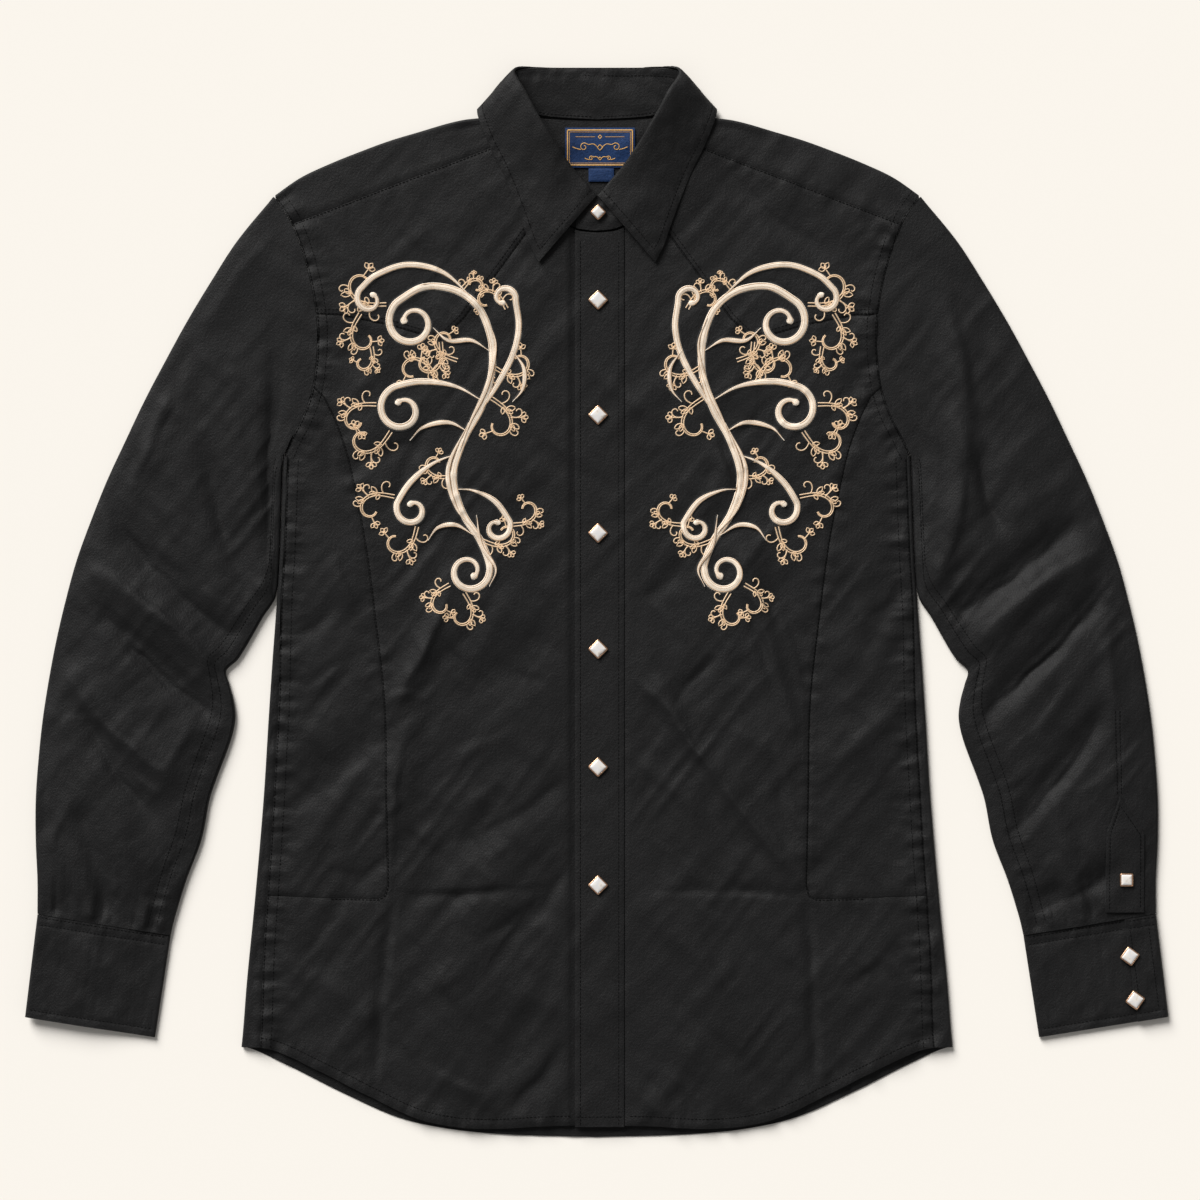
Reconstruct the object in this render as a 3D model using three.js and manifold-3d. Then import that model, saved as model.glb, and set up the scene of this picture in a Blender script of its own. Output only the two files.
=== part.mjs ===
// Western snap shirt, laid flat on its back on a level surface.
// Units are millimetres. +X is the wearer's left, +Y runs up the shirt to the collar, +Z is up.
// The surface that the shirt lies on is z = 0, and x = 0 is the middle of the shirt.
import * as THREE from 'three';
import { mergeVertices } from 'three/addons/utils/BufferGeometryUtils.js';
import Module from 'manifold-3d';

const wasm = await Module();
wasm.setup();
const { Manifold, Mesh: SolidMesh, CrossSection } = wasm;

// Cloth and seams
const CLOTH = 1.2;
const STIFF_CLOTH = 1.6;
const SEAM = 0.3;
const HALF_SEAM = SEAM / 2;
const LAID = 0.35;

// A folded edge of the shirt is a half roll of this height
const EDGE_HEIGHT = 4.6;
const ROLL = EDGE_HEIGHT / 2;
const ROLL_STEPS = 4;
const LOWEST_FRONT = 3.3;

// Drawn half of the flat outline, with x measured out from the middle

const ARMHOLE = [
  // y, x
  [113.9, 245.0],
  [127.9, 238.5],
  [145.0, 229.5],
  [165.0, 222.6],
  [190.0, 219.0],
  [215.0, 218.4],
  [238.7, 221.3],
  [260.0, 226.0],
  [280.0, 232.1],
  [298.7, 240.0],
  [309.7, 247.3],
  [316.7, 252.6],
];
const BODY_EDGE = [
  // y, x
  [-420, 287.0],
  [-347, 277.7],
  [-295, 273.4],
  [-232, 267.2],
  [-154, 260.5],
  [-92, 256.6],
  [-45, 253.5],
  [-14, 251.2],
  [33, 248.0],
  [80, 246.2],
  [113.9, 245.0],
];
const SIDE_SEAM = [
  // y, x
  [-420, 272.0],
  [-347, 263.4],
  [-271, 260.3],
  [-186, 254.6],
  [-123, 251.0],
  [-76, 248.6],
  [-30, 247.6],
  [0, 246.8],
  [40, 244.4],
  [113.9, 241.6],
];
const SHOULDER_FOLD = [
  // x, y
  [70.0, 380.5],
  [91.3, 377.8],
  [104.0, 376.4],
  [118.0, 373.3],
  [138.1, 367.4],
  [161.5, 360.4],
  [184.9, 351.8],
  [208.3, 342.4],
  [231.7, 331.3],
  [252.6, 316.7],
];
const SHOULDER_SEAM = [
  // x, y
  [60.0, 362.5],
  [87.9, 352.6],
  [124.2, 338.8],
  [162.7, 324.1],
  [196.6, 311.0],
  [250.0, 290.6],
];
const FRONT_NECK = [
  // x, y
  [0.0, 288.6],
  [16.0, 290.6],
  [31.0, 299.0],
  [45.0, 311.0],
  [56.0, 325.0],
  [65.0, 341.0],
  [71.0, 358.8],
];
const FRONT_HEM = [
  // x, y
  [0.0, -408.5],
  [45.2, -409.5],
  [83.5, -411.4],
  [115.0, -409.3],
  [142.7, -402.5],
  [176.7, -386.5],
  [218.4, -365.5],
  [254.3, -349.6],
  [290.0, -345.0],
];
const BACK_HEM = [
  // x, y
  [0.0, -418.1],
  [71.0, -416.0],
  [114.7, -411.8],
  [154.8, -402.9],
  [200.5, -382.7],
  [244.1, -360.8],
  [275.0, -347.5],
  [300.0, -345.5],
];
const PRINCESS_SEAM = [
  // y, x
  [-221.0, 163.5],
  [-154.0, 165.0],
  [-76.0, 166.8],
  [-6.0, 174.5],
  [33.0, 179.4],
  [64.0, 184.6],
  [95.0, 191.0],
  [119.0, 196.8],
  [142.0, 205.0],
  [160.0, 213.6],
];
const PRINCESS_CORNER = [
  // x, y
  [300.0, -229.5],
  [208.0, -231.0],
  [171.0, -231.7],
  [165.6, -228.6],
];
const FRONT_YOKE_SEAM = [
  // x, y
  [240.0, 225.6],
  [202.0, 223.9],
  [162.0, 216.0],
  [122.0, 204.0],
  [104.0, 221.0],
  [86.2, 245.0],
  [58.4, 283.2],
  [20.0, 336.0],
];
const BACK_YOKE_SEAM_Y = 238.0;

const SLEEVE_OUTER = [
  // y, x
  [-243.2, 436.6],
  [-216.8, 436.5],
  [-185.6, 438.0],
  [-154.4, 438.0],
  [-123.2, 436.0],
  [-92.0, 432.9],
  [-60.8, 428.2],
  [-29.6, 422.3],
  [1.6, 415.0],
  [32.8, 406.4],
  [64.0, 395.1],
  [95.2, 382.6],
  [126.4, 368.1],
  [157.6, 353.3],
  [188.8, 336.9],
  [220.0, 319.8],
  [251.2, 301.0],
  [282.4, 280.8],
  [316.7, 252.6],
];
const SLEEVE_INNER = [
  // y, x
  [-260.2, 333.0],
  [-247.0, 329.9],
  [-216.8, 320.6],
  [-185.6, 308.9],
  [-154.4, 302.6],
  [-138.8, 297.5],
  [-107.6, 285.9],
  [-90.5, 282.4],
  [-76.4, 283.9],
  [-64.0, 287.2],
  [-53.5, 289.4],
  [-45.2, 280.8],
  [-29.6, 271.0],
  [-12.5, 261.3],
  [3.9, 251.8],
  [33.0, 249.0],
  [80.0, 247.1],
  [113.9, 246.0],
];
const CUFF_CORNERS = {
  topOuter: [436.6, -243.6],
  topInner: [333.0, -260.6],
  bottomInner: [345.2, -339.8],
  bottomOuter: [446.3, -323.5],
};

// Folds of the worn-in cloth, x measured in the shirt's own frame.
// A positive height is a ridge and a negative one a trough.
const BODY_FOLDS = [
  // x1, y1, x2, y2, width, height
  [-246, -28, -212, -12, 9, -1.3],
  [-240, -90, -188, -48, 11, -1.5],
  [-240, -162, -170, -94, 13, -1.8],
  [-220, -274, -192, -222, 10, -1.5],
  [-190, 105, -148, 122, 10, -1.3],
  [-134, 142, -160, 84, 9, -1.6],
  [-113, 15, -152, -72, 11, 2.6],
  [-146, -96, -158, -176, 12, 1.8],
  [-110, -188, -24, -137, 12, -1.7],
  [-54, -248, -22, -203, 10, -1.3],
  [-66, -350, -24, -290, 12, -1.5],
  [-110, -282, -60, -170, 24, 2.2],
  [-80, -60, -44, -30, 12, -1.3],
  [-120, -332, -88, -382, 12, 1.6],
  [-90, 130, -60, 40, 20, 1.6],
  [100, 337, 170, 280, 12, -1.4],
  [92, 135, 115, 75, 10, -1.4],
  [154, 132, 182, 88, 10, 1.5],
  [114, 34, 150, -92, 11, 2.4],
  [136, 2, 164, -98, 10, -1.6],
  [28, -40, 58, -84, 9, 1.6],
  [58, -84, 156, -214, 10, 2.2],
  [26, 2, 62, 22, 9, -1.2],
  [136, -110, 160, -190, 11, 1.6],
  [60, -250, 110, -330, 20, 1.8],
  [212, -20, 240, 20, 12, -1.2],
  [190, -120, 240, -70, 14, 1.5],
  [196, -300, 236, -260, 14, 1.6],
];
const SLEEVE_RIGHT_FOLDS = [
  // x1, y1, x2, y2, width, height
  [-247, 210, -252, 40, 9, -1.6],
  [-317, 182, -358, 93, 9, 1.8],
  [-302, 105, -272, 18, 10, -1.8],
  [-376, 66, -290, -26, 11, -2.0],
  [-391, 22, -299, -50, 11, 3.0],
  [-382, -12, -304, -84, 10, -2.0],
  [-415, -54, -337, -134, 10, 2.4],
  [-394, -93, -353, -158, 9, -1.6],
  [-336, -128, -322, -100, 8, 1.6],
  [-400, -170, -384, -230, 8, -1.6],
  [-372, -180, -356, -240, 8, 1.6],
];
const SLEEVE_LEFT_FOLDS = [
  // x1, y1, x2, y2, width, height
  [272, 243, 288, 123, 11, 2.2],
  [288, 123, 266, 18, 10, 1.8],
  [295, 138, 313, 63, 9, -1.8],
  [284, -6, 370, 60, 10, -2.0],
  [302, -26, 390, 40, 11, 3.0],
  [302, -86, 400, 14, 10, -2.0],
  [319, -182, 388, -96, 10, -1.8],
  [400, -26, 408, -86, 9, 1.8],
  [340, -236, 396, -214, 9, -1.6],
  [360, -160, 372, -232, 8, 1.6],
];

// Middle lines of the collar stand, from its snapped end round to the middle of the back.
// turn is the angle in degrees of the fold at the top: 90 is up, 0 is outward, -90 is down.
const STAND_ROWS = [
  // step, neckX, neckY, neckZ, topX, topY, topZ, turn, handle
  [-1.0, -16.5, 291.6, 7.0, -16.8, 313.8, 8.2, 0, 0.0],
  [-0.5, -8.0, 290.2, 7.0, -8.2, 314.0, 8.2, 30, 0.0],
  [0.0, 0.6, 289.8, 7.0, 0.6, 316.4, 9.6, 90, 2.0],
  [0.5, 15.2, 291.8, 7.0, 11.0, 328.0, 10.4, 90, 2.4],
  [1.0, 30.1, 300.2, 6.9, 22.0, 341.0, 12.0, 90, 3.0],
  [2.0, 54.4, 326.2, 6.6, 34.5, 359.5, 14.6, 90, 3.4],
  [3.0, 66.6, 348.2, 6.4, 45.5, 377.0, 16.0, 90, 3.6],
  [4.0, 70.6, 364.0, 6.0, 56.0, 397.0, 15.4, 90, 3.6],
  [5.0, 71.2, 378.0, 5.2, 62.8, 408.0, 12.8, 75, 3.4],
  [5.5, 70.6, 382.4, 4.8, 64.4, 412.4, 11.2, 52, 3.0],
  [6.0, 68.0, 384.2, 4.2, 62.4, 415.4, 9.4, 24, 3.0],
  [6.5, 63.0, 384.4, 4.0, 58.0, 416.4, 7.6, -10, 2.6],
  [7.0, 56.0, 383.0, 3.8, 51.0, 416.5, 5.9, -45, 2.4],
  [8.0, 36.0, 379.0, 3.6, 31.0, 416.4, 3.9, -85, 2.0],
  [9.0, 0.0, 376.8, 3.6, 0.0, 416.4, 3.5, -90, 2.0],
];
const LEAF_EDGE = [
  // step, edgeX, edgeY, edgeZ, lift
  [0.0, 45.4, 265.0, 8.0, 4.0],
  [0.5, 52.0, 278.0, 8.0, 3.8],
  [1.0, 57.5, 294.0, 8.0, 3.4],
  [2.0, 66.5, 318.0, 8.0, 3.0],
  [3.0, 74.5, 337.0, 8.0, 3.0],
  [4.0, 83.0, 354.0, 8.0, 3.0],
  [5.0, 89.6, 370.0, 8.2, 2.8],
  [5.5, 92.8, 379.0, 7.0, 2.6],
  [6.0, 93.0, 384.4, 3.4, 2.0],
  [6.5, 88.6, 380.0, 1.0, 0.6],
  [7.0, 82.0, 373.0, 0.8, 0.0],
  [8.0, 48.0, 367.4, 0.8, 0.0],
  [9.0, 0.0, 366.6, 0.8, 0.0],
];
const COLLAR_STEPS = [
  0, 0.5, 1, 1.5, 2, 2.5, 3, 3.5, 4, 4.5, 5, 5.25, 5.5, 5.75, 6, 6.25, 6.5, 6.75, 7, 7.5, 8, 8.5,
];
const LAST_COLLAR_STEP = 9;
const FOLD_GAP = 0.6;
const CORNER_GAP = 0.9;
const CORNER_STEP = 6.1;
const STAND_CLOTH = 1.4;
const LEAF_CLOTH = 1.5;

// Placket, snaps, sleeve bands and labels
const PLACKET_FREE_EDGE_X = -17.2;
const PLACKET_SEAM_X = 21.1;
const PLACKET_HEM_Y = -409.5;
const PLACKET_RISE = 0.6;
const UNDERLAP_X = 18.0;
const UNDERLAP_DROP = 1.45;
const SNAP_X = 0.8;
const FRONT_SNAP_Y = [235.6, 145.9, 53.8, -36.7, -128.7, -220.7];
const STAND_SNAP = { x: 0.8, y: 303.6, z: 9.15, side: 9.4, tilt: 0.05 };
const SNAP_SEAT = 0.1;
const CUFF_SNAPS = [[415.4, -276.1], [419.6, -310.4]];
const SLEEVE_SNAP = [412.5, -216.5];
const SNAP_SIDE = 11.7;
const SLEEVE_SNAP_SIDE = 10.5;
const SNAP_LIFT = 2.7;
const BAND_LIFT = 1.7;
const SLEEVE_BAND = {
  centreX: 411.6,
  halfWidth: 15,
  low: -242,
  shoulder: -180.6,
  tipX: 407.4,
  tipY: -151.3,
};
const BAND_CLEAR = 1.0;
const CUFF_CLOTH = 1.6;
const CUFF_GAP = 0.7;
const OVERLAP_SHARE = 0.24;
const LABEL = { x: 2.3, y: 354.8, width: 54.6, height: 31.0 };
const SIZE_TAB = { x: 3.3, y: 333.6, width: 19.8, height: 10.4 };

// Spacing of the solids' grids
const BODY_CELL_X = 18;
const BODY_CELL_Y = 20;
const SLEEVE_ROWS = 20;

const COLOURS = {
  cloth: 0x232325,
  collar: 0x202022,
  metal: 0xb98a6a,
  pearl: 0xe9e4dc,
  label: 0x20355a,
};

// Arithmetic

function clamp(value, low, high) {
  return Math.min(Math.max(value, low), high);
}

function mix(a, b, share) {
  return a + (b - a) * share;
}

function smooth(low, high, value) {
  const t = clamp((value - low) / (high - low), 0, 1);
  return t * t * (3 - 2 * t);
}

// Smooth value of a table's column at a place in its first column
function follow(table, place, column = 1) {
  const last = table.length - 1;
  const at = clamp(place, table[0][0], table[last][0]);
  let k = 0;
  while (k < last - 1 && at > table[k + 1][0]) {
    k += 1;
  }
  const span = table[k + 1][0] - table[k][0];
  const rise = table[k + 1][column] - table[k][column];
  const before = table[Math.max(k - 1, 0)];
  const after = table[Math.min(k + 2, last)];
  const startSlope = (table[k + 1][column] - before[column]) / (table[k + 1][0] - before[0]);
  const endSlope = (after[column] - table[k][column]) / (after[0] - table[k][0]);
  const t = (at - table[k][0]) / span;
  const startShare = t * (1 - t) * (1 - t);
  const endShare = -t * t * (1 - t);
  const bend = span * (startSlope * startShare + endSlope * endShare);
  return table[k][column] + rise * t * t * (3 - 2 * t) + bend;
}

function distanceToLine(x, y, points) {
  let nearest = Infinity;
  for (let k = 0; k + 1 < points.length; k += 1) {
    const [ax, ay] = points[k];
    const [bx, by] = points[k + 1];
    const share = ((x - ax) * (bx - ax) + (y - ay) * (by - ay)) / ((bx - ax) ** 2 + (by - ay) ** 2);
    const t = clamp(share, 0, 1);
    nearest = Math.min(nearest, Math.hypot(x - mix(ax, bx, t), y - mix(ay, by, t)));
  }
  return nearest;
}

// Form of the upper cloth

function foldHeight(folds, x, y) {
  let total = 0;
  for (const [x1, y1, x2, y2, width, height] of folds) {
    const length = Math.hypot(x2 - x1, y2 - y1);
    const along = ((x - x1) * (x2 - x1) + (y - y1) * (y2 - y1)) / length;
    const across = ((x - x1) * (y2 - y1) - (y - y1) * (x2 - x1)) / length;
    const past = Math.max(0, -along, along - length);
    total += height * Math.exp(-((across / width) ** 2) - (past / (width * 1.6)) ** 2);
  }
  return total;
}

function bodyEdgeDistance(x, y) {
  const side = follow(BODY_EDGE, y) - Math.abs(x) + Math.max(0, y - ARMHOLE[0][0]);
  const shoulder = follow(SHOULDER_FOLD, Math.abs(x)) - y;
  return Math.min(side, shoulder);
}

function bodyTop(x, y) {
  const inside = smooth(2, 42, bodyEdgeDistance(x, y));
  const besidePlacket = smooth(24, 56, Math.abs(x - 2));
  const neck = 1.6 * Math.exp(-((distanceToLine(Math.abs(x), y, FRONT_NECK) / 24) ** 2));
  const folds = foldHeight(BODY_FOLDS, x, y) * inside * besidePlacket;
  const free = EDGE_HEIGHT + 0.8 * inside + folds;
  return Math.max(free, LOWEST_FRONT + 0.15 * (free - LOWEST_FRONT)) + neck;
}

function placketTop(x, y) {
  return bodyTop(x, y) + PLACKET_RISE;
}

// Closed solids

function asGeometry(positions, faces) {
  const geometry = new THREE.BufferGeometry();
  geometry.setAttribute('position', new THREE.Float32BufferAttribute(positions.flat(), 3));
  geometry.setIndex(faces.flat());
  return geometry;
}

function signedVolume(positions, faces) {
  let six = 0;
  for (const [a, b, c] of faces) {
    const [p, q, r] = [positions[a], positions[b], positions[c]];
    six += p[0] * (q[1] * r[2] - q[2] * r[1]) + p[1] * (q[2] * r[0] - q[0] * r[2]);
    six += p[2] * (q[0] * r[1] - q[1] * r[0]);
  }
  return six / 6;
}

// Closed wall between two grids of points. keep(i, j) says which cells are there.
// A wrapped grid joins its last column to its first.
function wall(outer, inner, { keep = () => true, wrap = false } = {}) {
  const rows = outer.length;
  const columns = outer[0].length;
  const cells = wrap ? columns : columns - 1;
  const has = (i, j) => {
    const within = i >= 0 && i < rows - 1 && (wrap || (j >= 0 && j < cells));
    return within && keep(i, (j + cells) % cells);
  };
  const index = new Map();
  const positions = [];
  const vertex = (layer, i, j) => {
    const key = `${layer} ${i} ${j % columns}`;
    if (!index.has(key)) {
      index.set(key, positions.length);
      positions.push((layer === 0 ? outer : inner)[i][j % columns]);
    }
    return index.get(key);
  };
  const faces = [];
  const quad = (a, b, c, d) => faces.push([a, b, c], [a, c, d]);
  for (let i = 0; i < rows - 1; i += 1) {
    for (let j = 0; j < cells; j += 1) {
      if (has(i, j)) {
        const places = [[i, j], [i, j + 1], [i + 1, j + 1], [i + 1, j]];
        const corner = (layer) => places.map(([r, c]) => vertex(layer, r, c));
        const [a, b, c, d] = corner(0);
        const [p, q, r, s] = corner(1);
        quad(a, b, c, d);
        quad(s, r, q, p);
        if (!has(i - 1, j)) quad(b, a, p, q);
        if (!has(i + 1, j)) quad(d, c, r, s);
        if (!has(i, j - 1)) quad(a, d, s, p);
        if (!has(i, j + 1)) quad(c, b, q, r);
      }
    }
  }
  const volume = signedVolume(positions, faces);
  const turned = volume < 0 ? faces.map(([a, b, c]) => [a, c, b]) : faces;
  return asGeometry(positions, turned);
}

// Wall of even thickness about a grid of middle points
function wallAbout(middle, thickness, options = {}) {
  const rows = middle.length;
  const columns = middle[0].length;
  const at = (i, j) => {
    const column = options.wrap ? (j + columns) % columns : clamp(j, 0, columns - 1);
    return new THREE.Vector3(...middle[clamp(i, 0, rows - 1)][column]);
  };
  const layers = [[], []];
  for (let i = 0; i < rows; i += 1) {
    const pair = [[], []];
    for (let j = 0; j < columns; j += 1) {
      const bisector = (before, after) => {
        const ahead = after.sub(at(i, j)).normalize();
        return ahead.add(at(i, j).sub(before).normalize());
      };
      const along = bisector(at(i - 1, j), at(i + 1, j));
      const across = bisector(at(i, j - 1), at(i, j + 1));
      const normal = across.cross(along).normalize();
      for (const side of [0, 1]) {
        const offset = normal.clone().multiplyScalar((side === 0 ? 0.5 : -0.5) * thickness);
        pair[side].push(at(i, j).add(offset).toArray());
      }
    }
    layers[0].push(pair[0]);
    layers[1].push(pair[1]);
  }
  return wall(layers[0], layers[1], options);
}

function toSolid(geometry) {
  const merged = mergeVertices(geometry, 1e-5);
  return new Manifold(new SolidMesh({
    numProp: 3,
    vertProperties: new Float32Array(merged.attributes.position.array),
    triVerts: new Uint32Array(merged.index.array),
  }));
}

// Largest connected body of a solid, as three.js geometry
function fromSolid(solid) {
  const bodies = solid.decompose().sort((a, b) => b.volume() - a.volume());
  const mesh = bodies[0].simplify(0.03).getMesh();
  const geometry = new THREE.BufferGeometry();
  geometry.setAttribute('position', new THREE.BufferAttribute(new Float32Array(mesh.vertProperties), 3));
  geometry.setIndex(new THREE.BufferAttribute(new Uint32Array(mesh.triVerts), 1));
  return geometry;
}

function prism(points, grow = 0, low = -20, high = 60) {
  const outline = new CrossSection([points], 'NonZero');
  const sized = grow === 0 ? outline : outline.offset(grow, 'Miter');
  return sized.extrude(high - low).translate([0, 0, low]);
}

function mirrored(points) {
  return points.map(([x, y]) => [-x, y]).reverse();
}

function steps(from, to, spacing) {
  const count = Math.max(1, Math.round(Math.abs(to - from) / spacing));
  return Array.from({ length: count + 1 }, (_, k) => mix(from, to, k / count));
}

function sampled(table, places) {
  return places.map((place) => [follow(table, place), place]);
}

// Plan outlines of the pieces, as closed lists of points on the +X side

const armholeLine = ARMHOLE.map(([y, x]) => [x, y]);
const underarmY = ARMHOLE[0][0];
const armTip = armholeLine[armholeLine.length - 1];

// Everything that belongs to the body, out past its free edges
function bodySide() {
  return [[-500, -500], [330, -500], [330, underarmY], ...armholeLine, [272, 338], [272, 500], [-500, 500]];
}

function sideSeamLine(from, to) {
  return sampled(SIDE_SEAM, steps(from, to, 30));
}

function princessLine() {
  return PRINCESS_SEAM.map(([y, x]) => [x, y]);
}

const PRINCESS_TOP = [222.2, 168.0];

function sideFrontOutline() {
  const corner = PRINCESS_CORNER.slice(1);
  const seam = [...corner, ...princessLine()];
  const bottomOuter = [follow(SIDE_SEAM, -229.0), -229.0];
  const arm = armholeLine.filter(([, y]) => y < PRINCESS_TOP[1]).reverse();
  const side = sideSeamLine(-229, underarmY).slice(1);
  return [bottomOuter, ...side, ...arm.slice(0, -1).reverse(), PRINCESS_TOP, ...seam.reverse()];
}

function frontYokeOutline() {
  const seam = FRONT_YOKE_SEAM.slice(0, -1);
  const neck = FRONT_NECK.filter(([, y]) => y > 300 && y < 350);
  const neckStart = [36.5, 303.4];
  const arm = armholeLine.filter(([, y]) => y > 226 && y < 292);
  const shoulder = SHOULDER_SEAM.slice(1, -1).reverse();
  const armTop = [237.2, 295.4];
  const armLow = [219.6, 224.7];
  const neckTop = [70.3, 357.4];
  const inner = seam.slice(1, -1);
  const seamEnd = [51.4, 292.6];
  const upper = [armLow, ...arm, armTop, ...shoulder, neckTop, ...neck.reverse()];
  return [...upper, neckStart, seamEnd, ...inner.reverse()];
}

function frontOutline(innerX) {
  const hem = FRONT_HEM.filter(([x]) => x > innerX + 4 && x < 260);
  const hemStart = [innerX, follow(FRONT_HEM, innerX)];
  const hemEnd = [follow(SIDE_SEAM, -347.5), -347.5];
  const side = sideSeamLine(-347.5, -229).slice(1);
  const corner = PRINCESS_CORNER.slice(1);
  const arm = armholeLine.filter(([, y]) => y > PRINCESS_TOP[1] && y < 224);
  const yoke = FRONT_YOKE_SEAM.slice(1, -1);
  const armLow = [219.6, 224.7];
  const neckStart = [36.5, 303.4];
  const neck = FRONT_NECK.filter(([x]) => x > Math.max(innerX + 2, 12) && x < 36).reverse();
  const neckEnd = [innerX, follow(FRONT_NECK, Math.max(innerX, 0))];
  const low = [hemStart, ...hem, hemEnd, ...side, ...corner, ...princessLine(), PRINCESS_TOP];
  return [...low, ...arm, armLow, ...yoke, [51.4, 292.6], neckStart, ...neck, neckEnd];
}

// Flat grid of the front between two x lines, ready to be cut to the pieces
function frontBlank(side, xLines, drop) {
  const yLines = steps(-430, 372, BODY_CELL_Y);
  const top = [];
  const bottom = [];
  for (const y of yLines) {
    const high = xLines.map((x) => [side * x, y, bodyTop(side * x, y) - drop(side * x, y)]);
    top.push(high);
    bottom.push(high.map(([px, py, pz]) => [px, py, pz - CLOTH]));
  }
  return toSolid(wall(top, bottom));
}

function cutPiece(blank, outline, side) {
  const plan = side > 0 ? outline : mirrored(outline);
  return fromSolid(blank.intersect(prism(plan, -HALF_SEAM)));
}

// Back panel: a flat sheet with both sides rolled over to the front as far as the side seams
function backRow(y) {
  const edge = follow(BODY_EDGE, y);
  const seam = Math.min(follow(SIDE_SEAM, y), edge - 3.0) + HALF_SEAM;
  const centre = edge - ROLL;
  const radius = ROLL - CLOTH / 2;
  const half = [];
  half.push([seam, bodyTop(seam, y) - CLOTH / 2]);
  for (let k = 0; k <= ROLL_STEPS; k += 1) {
    const angle = Math.PI / 2 - (Math.PI * k) / ROLL_STEPS;
    half.push([centre + radius * Math.cos(angle), ROLL + radius * Math.sin(angle)]);
  }
  return half;
}

function backPanel() {
  const flatShares = [0.86, 0.62, 0.36, 0.12, -0.12, -0.36, -0.62, -0.86];
  const rolled = ROLL_STEPS + 2;
  const lowRows = steps(0, 1, 1 / 19);
  const highRows = steps(underarmY, BACK_YOKE_SEAM_Y - HALF_SEAM, 22).slice(1);
  const middle = [];
  const pushRow = (half, level, yOf) => {
    const flatX = half[half.length - 1][0];
    const flat = flatShares.map((share) => [share * flatX, CLOTH / 2]);
    const row = [...half, ...flat, ...half.slice().reverse().map(([x, z]) => [-x, z])];
    middle.push(row.map(([x, z], k) => {
      const turned = k < rolled - 1 || k > row.length - rolled;
      return [x, turned ? level : yOf(Math.abs(x)), z];
    }));
  };
  for (const share of lowRows) {
    const level = mix(-347.5, underarmY, share);
    const hemShare = 1 - smooth(0, 0.34, share);
    const yOf = (x) => level + (follow(BACK_HEM, x) + 347.5) * hemShare;
    pushRow(backRow(level), level, yOf);
  }
  for (const y of highRows) {
    const half = backRow(underarmY);
    const armX = follow(ARMHOLE, y) + 3;
    half[half.length - 1] = [armX, CLOTH / 2];
    pushRow(half, y, () => y);
  }
  const columns = middle[0].length;
  const lastLow = lowRows.length - 1;
  const keep = (i, j) => i < lastLow || (j >= rolled - 1 && j < columns - rolled);
  const sheet = toSolid(wallAbout(middle, CLOTH, { keep }));
  const side = prism(bodySide(), -HALF_SEAM);
  return fromSolid(sheet.intersect(side).intersect(side.mirror([1, 0, 0])));
}

// The yoke is lifted where the back of the collar lies under it
function yokeFloor(x, y) {
  return 2.2 * smooth(342, 360, y) * (1 - smooth(96, 130, Math.abs(x)));
}

function yokeInsideTop(x, y) {
  return yokeFloor(x, y) + CLOTH;
}

function backYoke() {
  const half = [0, 14, 30, 46, 59, 69.6, 74, 84, 97, 112, 130, 150, 170, 190, 210, 230, 251];
  const xLines = [...half.slice(1).reverse().map((x) => -x), ...half];
  const flatRows = 9;
  const middle = [];
  const neckY = (x) => mix(375.9, 380.6, (Math.abs(x) / 70) ** 2);
  for (let i = 0; i < flatRows; i += 1) {
    const share = i / (flatRows - 1);
    middle.push(xLines.map((x) => {
      const fold = Math.abs(x) < 70 ? neckY(x) : follow(SHOULDER_FOLD, Math.abs(x)) - ROLL;
      const y = mix(BACK_YOKE_SEAM_Y + HALF_SEAM, fold, 1 - (1 - share) ** 1.5);
      return [x, y, yokeFloor(x, y) + CLOTH / 2];
    }));
  }
  const low = (x) => yokeFloor(x, 400);
  for (let k = 1; k <= ROLL_STEPS; k += 1) {
    const angle = (Math.PI * k) / ROLL_STEPS;
    middle.push(xLines.map((x) => {
      const radius = (EDGE_HEIGHT + 1.6 - low(x)) / 2 - CLOTH / 2 - 0.8 * smooth(90, 150, Math.abs(x));
      const centreZ = low(x) + CLOTH / 2 + radius;
      const centreY = follow(SHOULDER_FOLD, Math.abs(x)) - ROLL;
      return [x, centreY + (ROLL - CLOTH / 2) * Math.sin(angle), centreZ - radius * Math.cos(angle)];
    }));
  }
  for (const share of [0.5, 1]) {
    middle.push(xLines.map((x) => {
      const start = follow(SHOULDER_FOLD, Math.abs(x)) - ROLL;
      const y = mix(start, follow(SHOULDER_SEAM, Math.abs(x)) + HALF_SEAM, share);
      return [x, y, bodyTop(x, y) - CLOTH / 2];
    }));
  }
  const neckColumn = half.indexOf(74);
  const centre = half.length - 1;
  const keep = (i, j) => i < flatRows - 1 || Math.abs(j + 0.5 - centre) > neckColumn;
  const sheet = toSolid(wallAbout(middle, CLOTH, { keep }));
  const side = prism(bodySide(), -HALF_SEAM);
  return fromSolid(sheet.intersect(side).intersect(side.mirror([1, 0, 0])));
}

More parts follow.
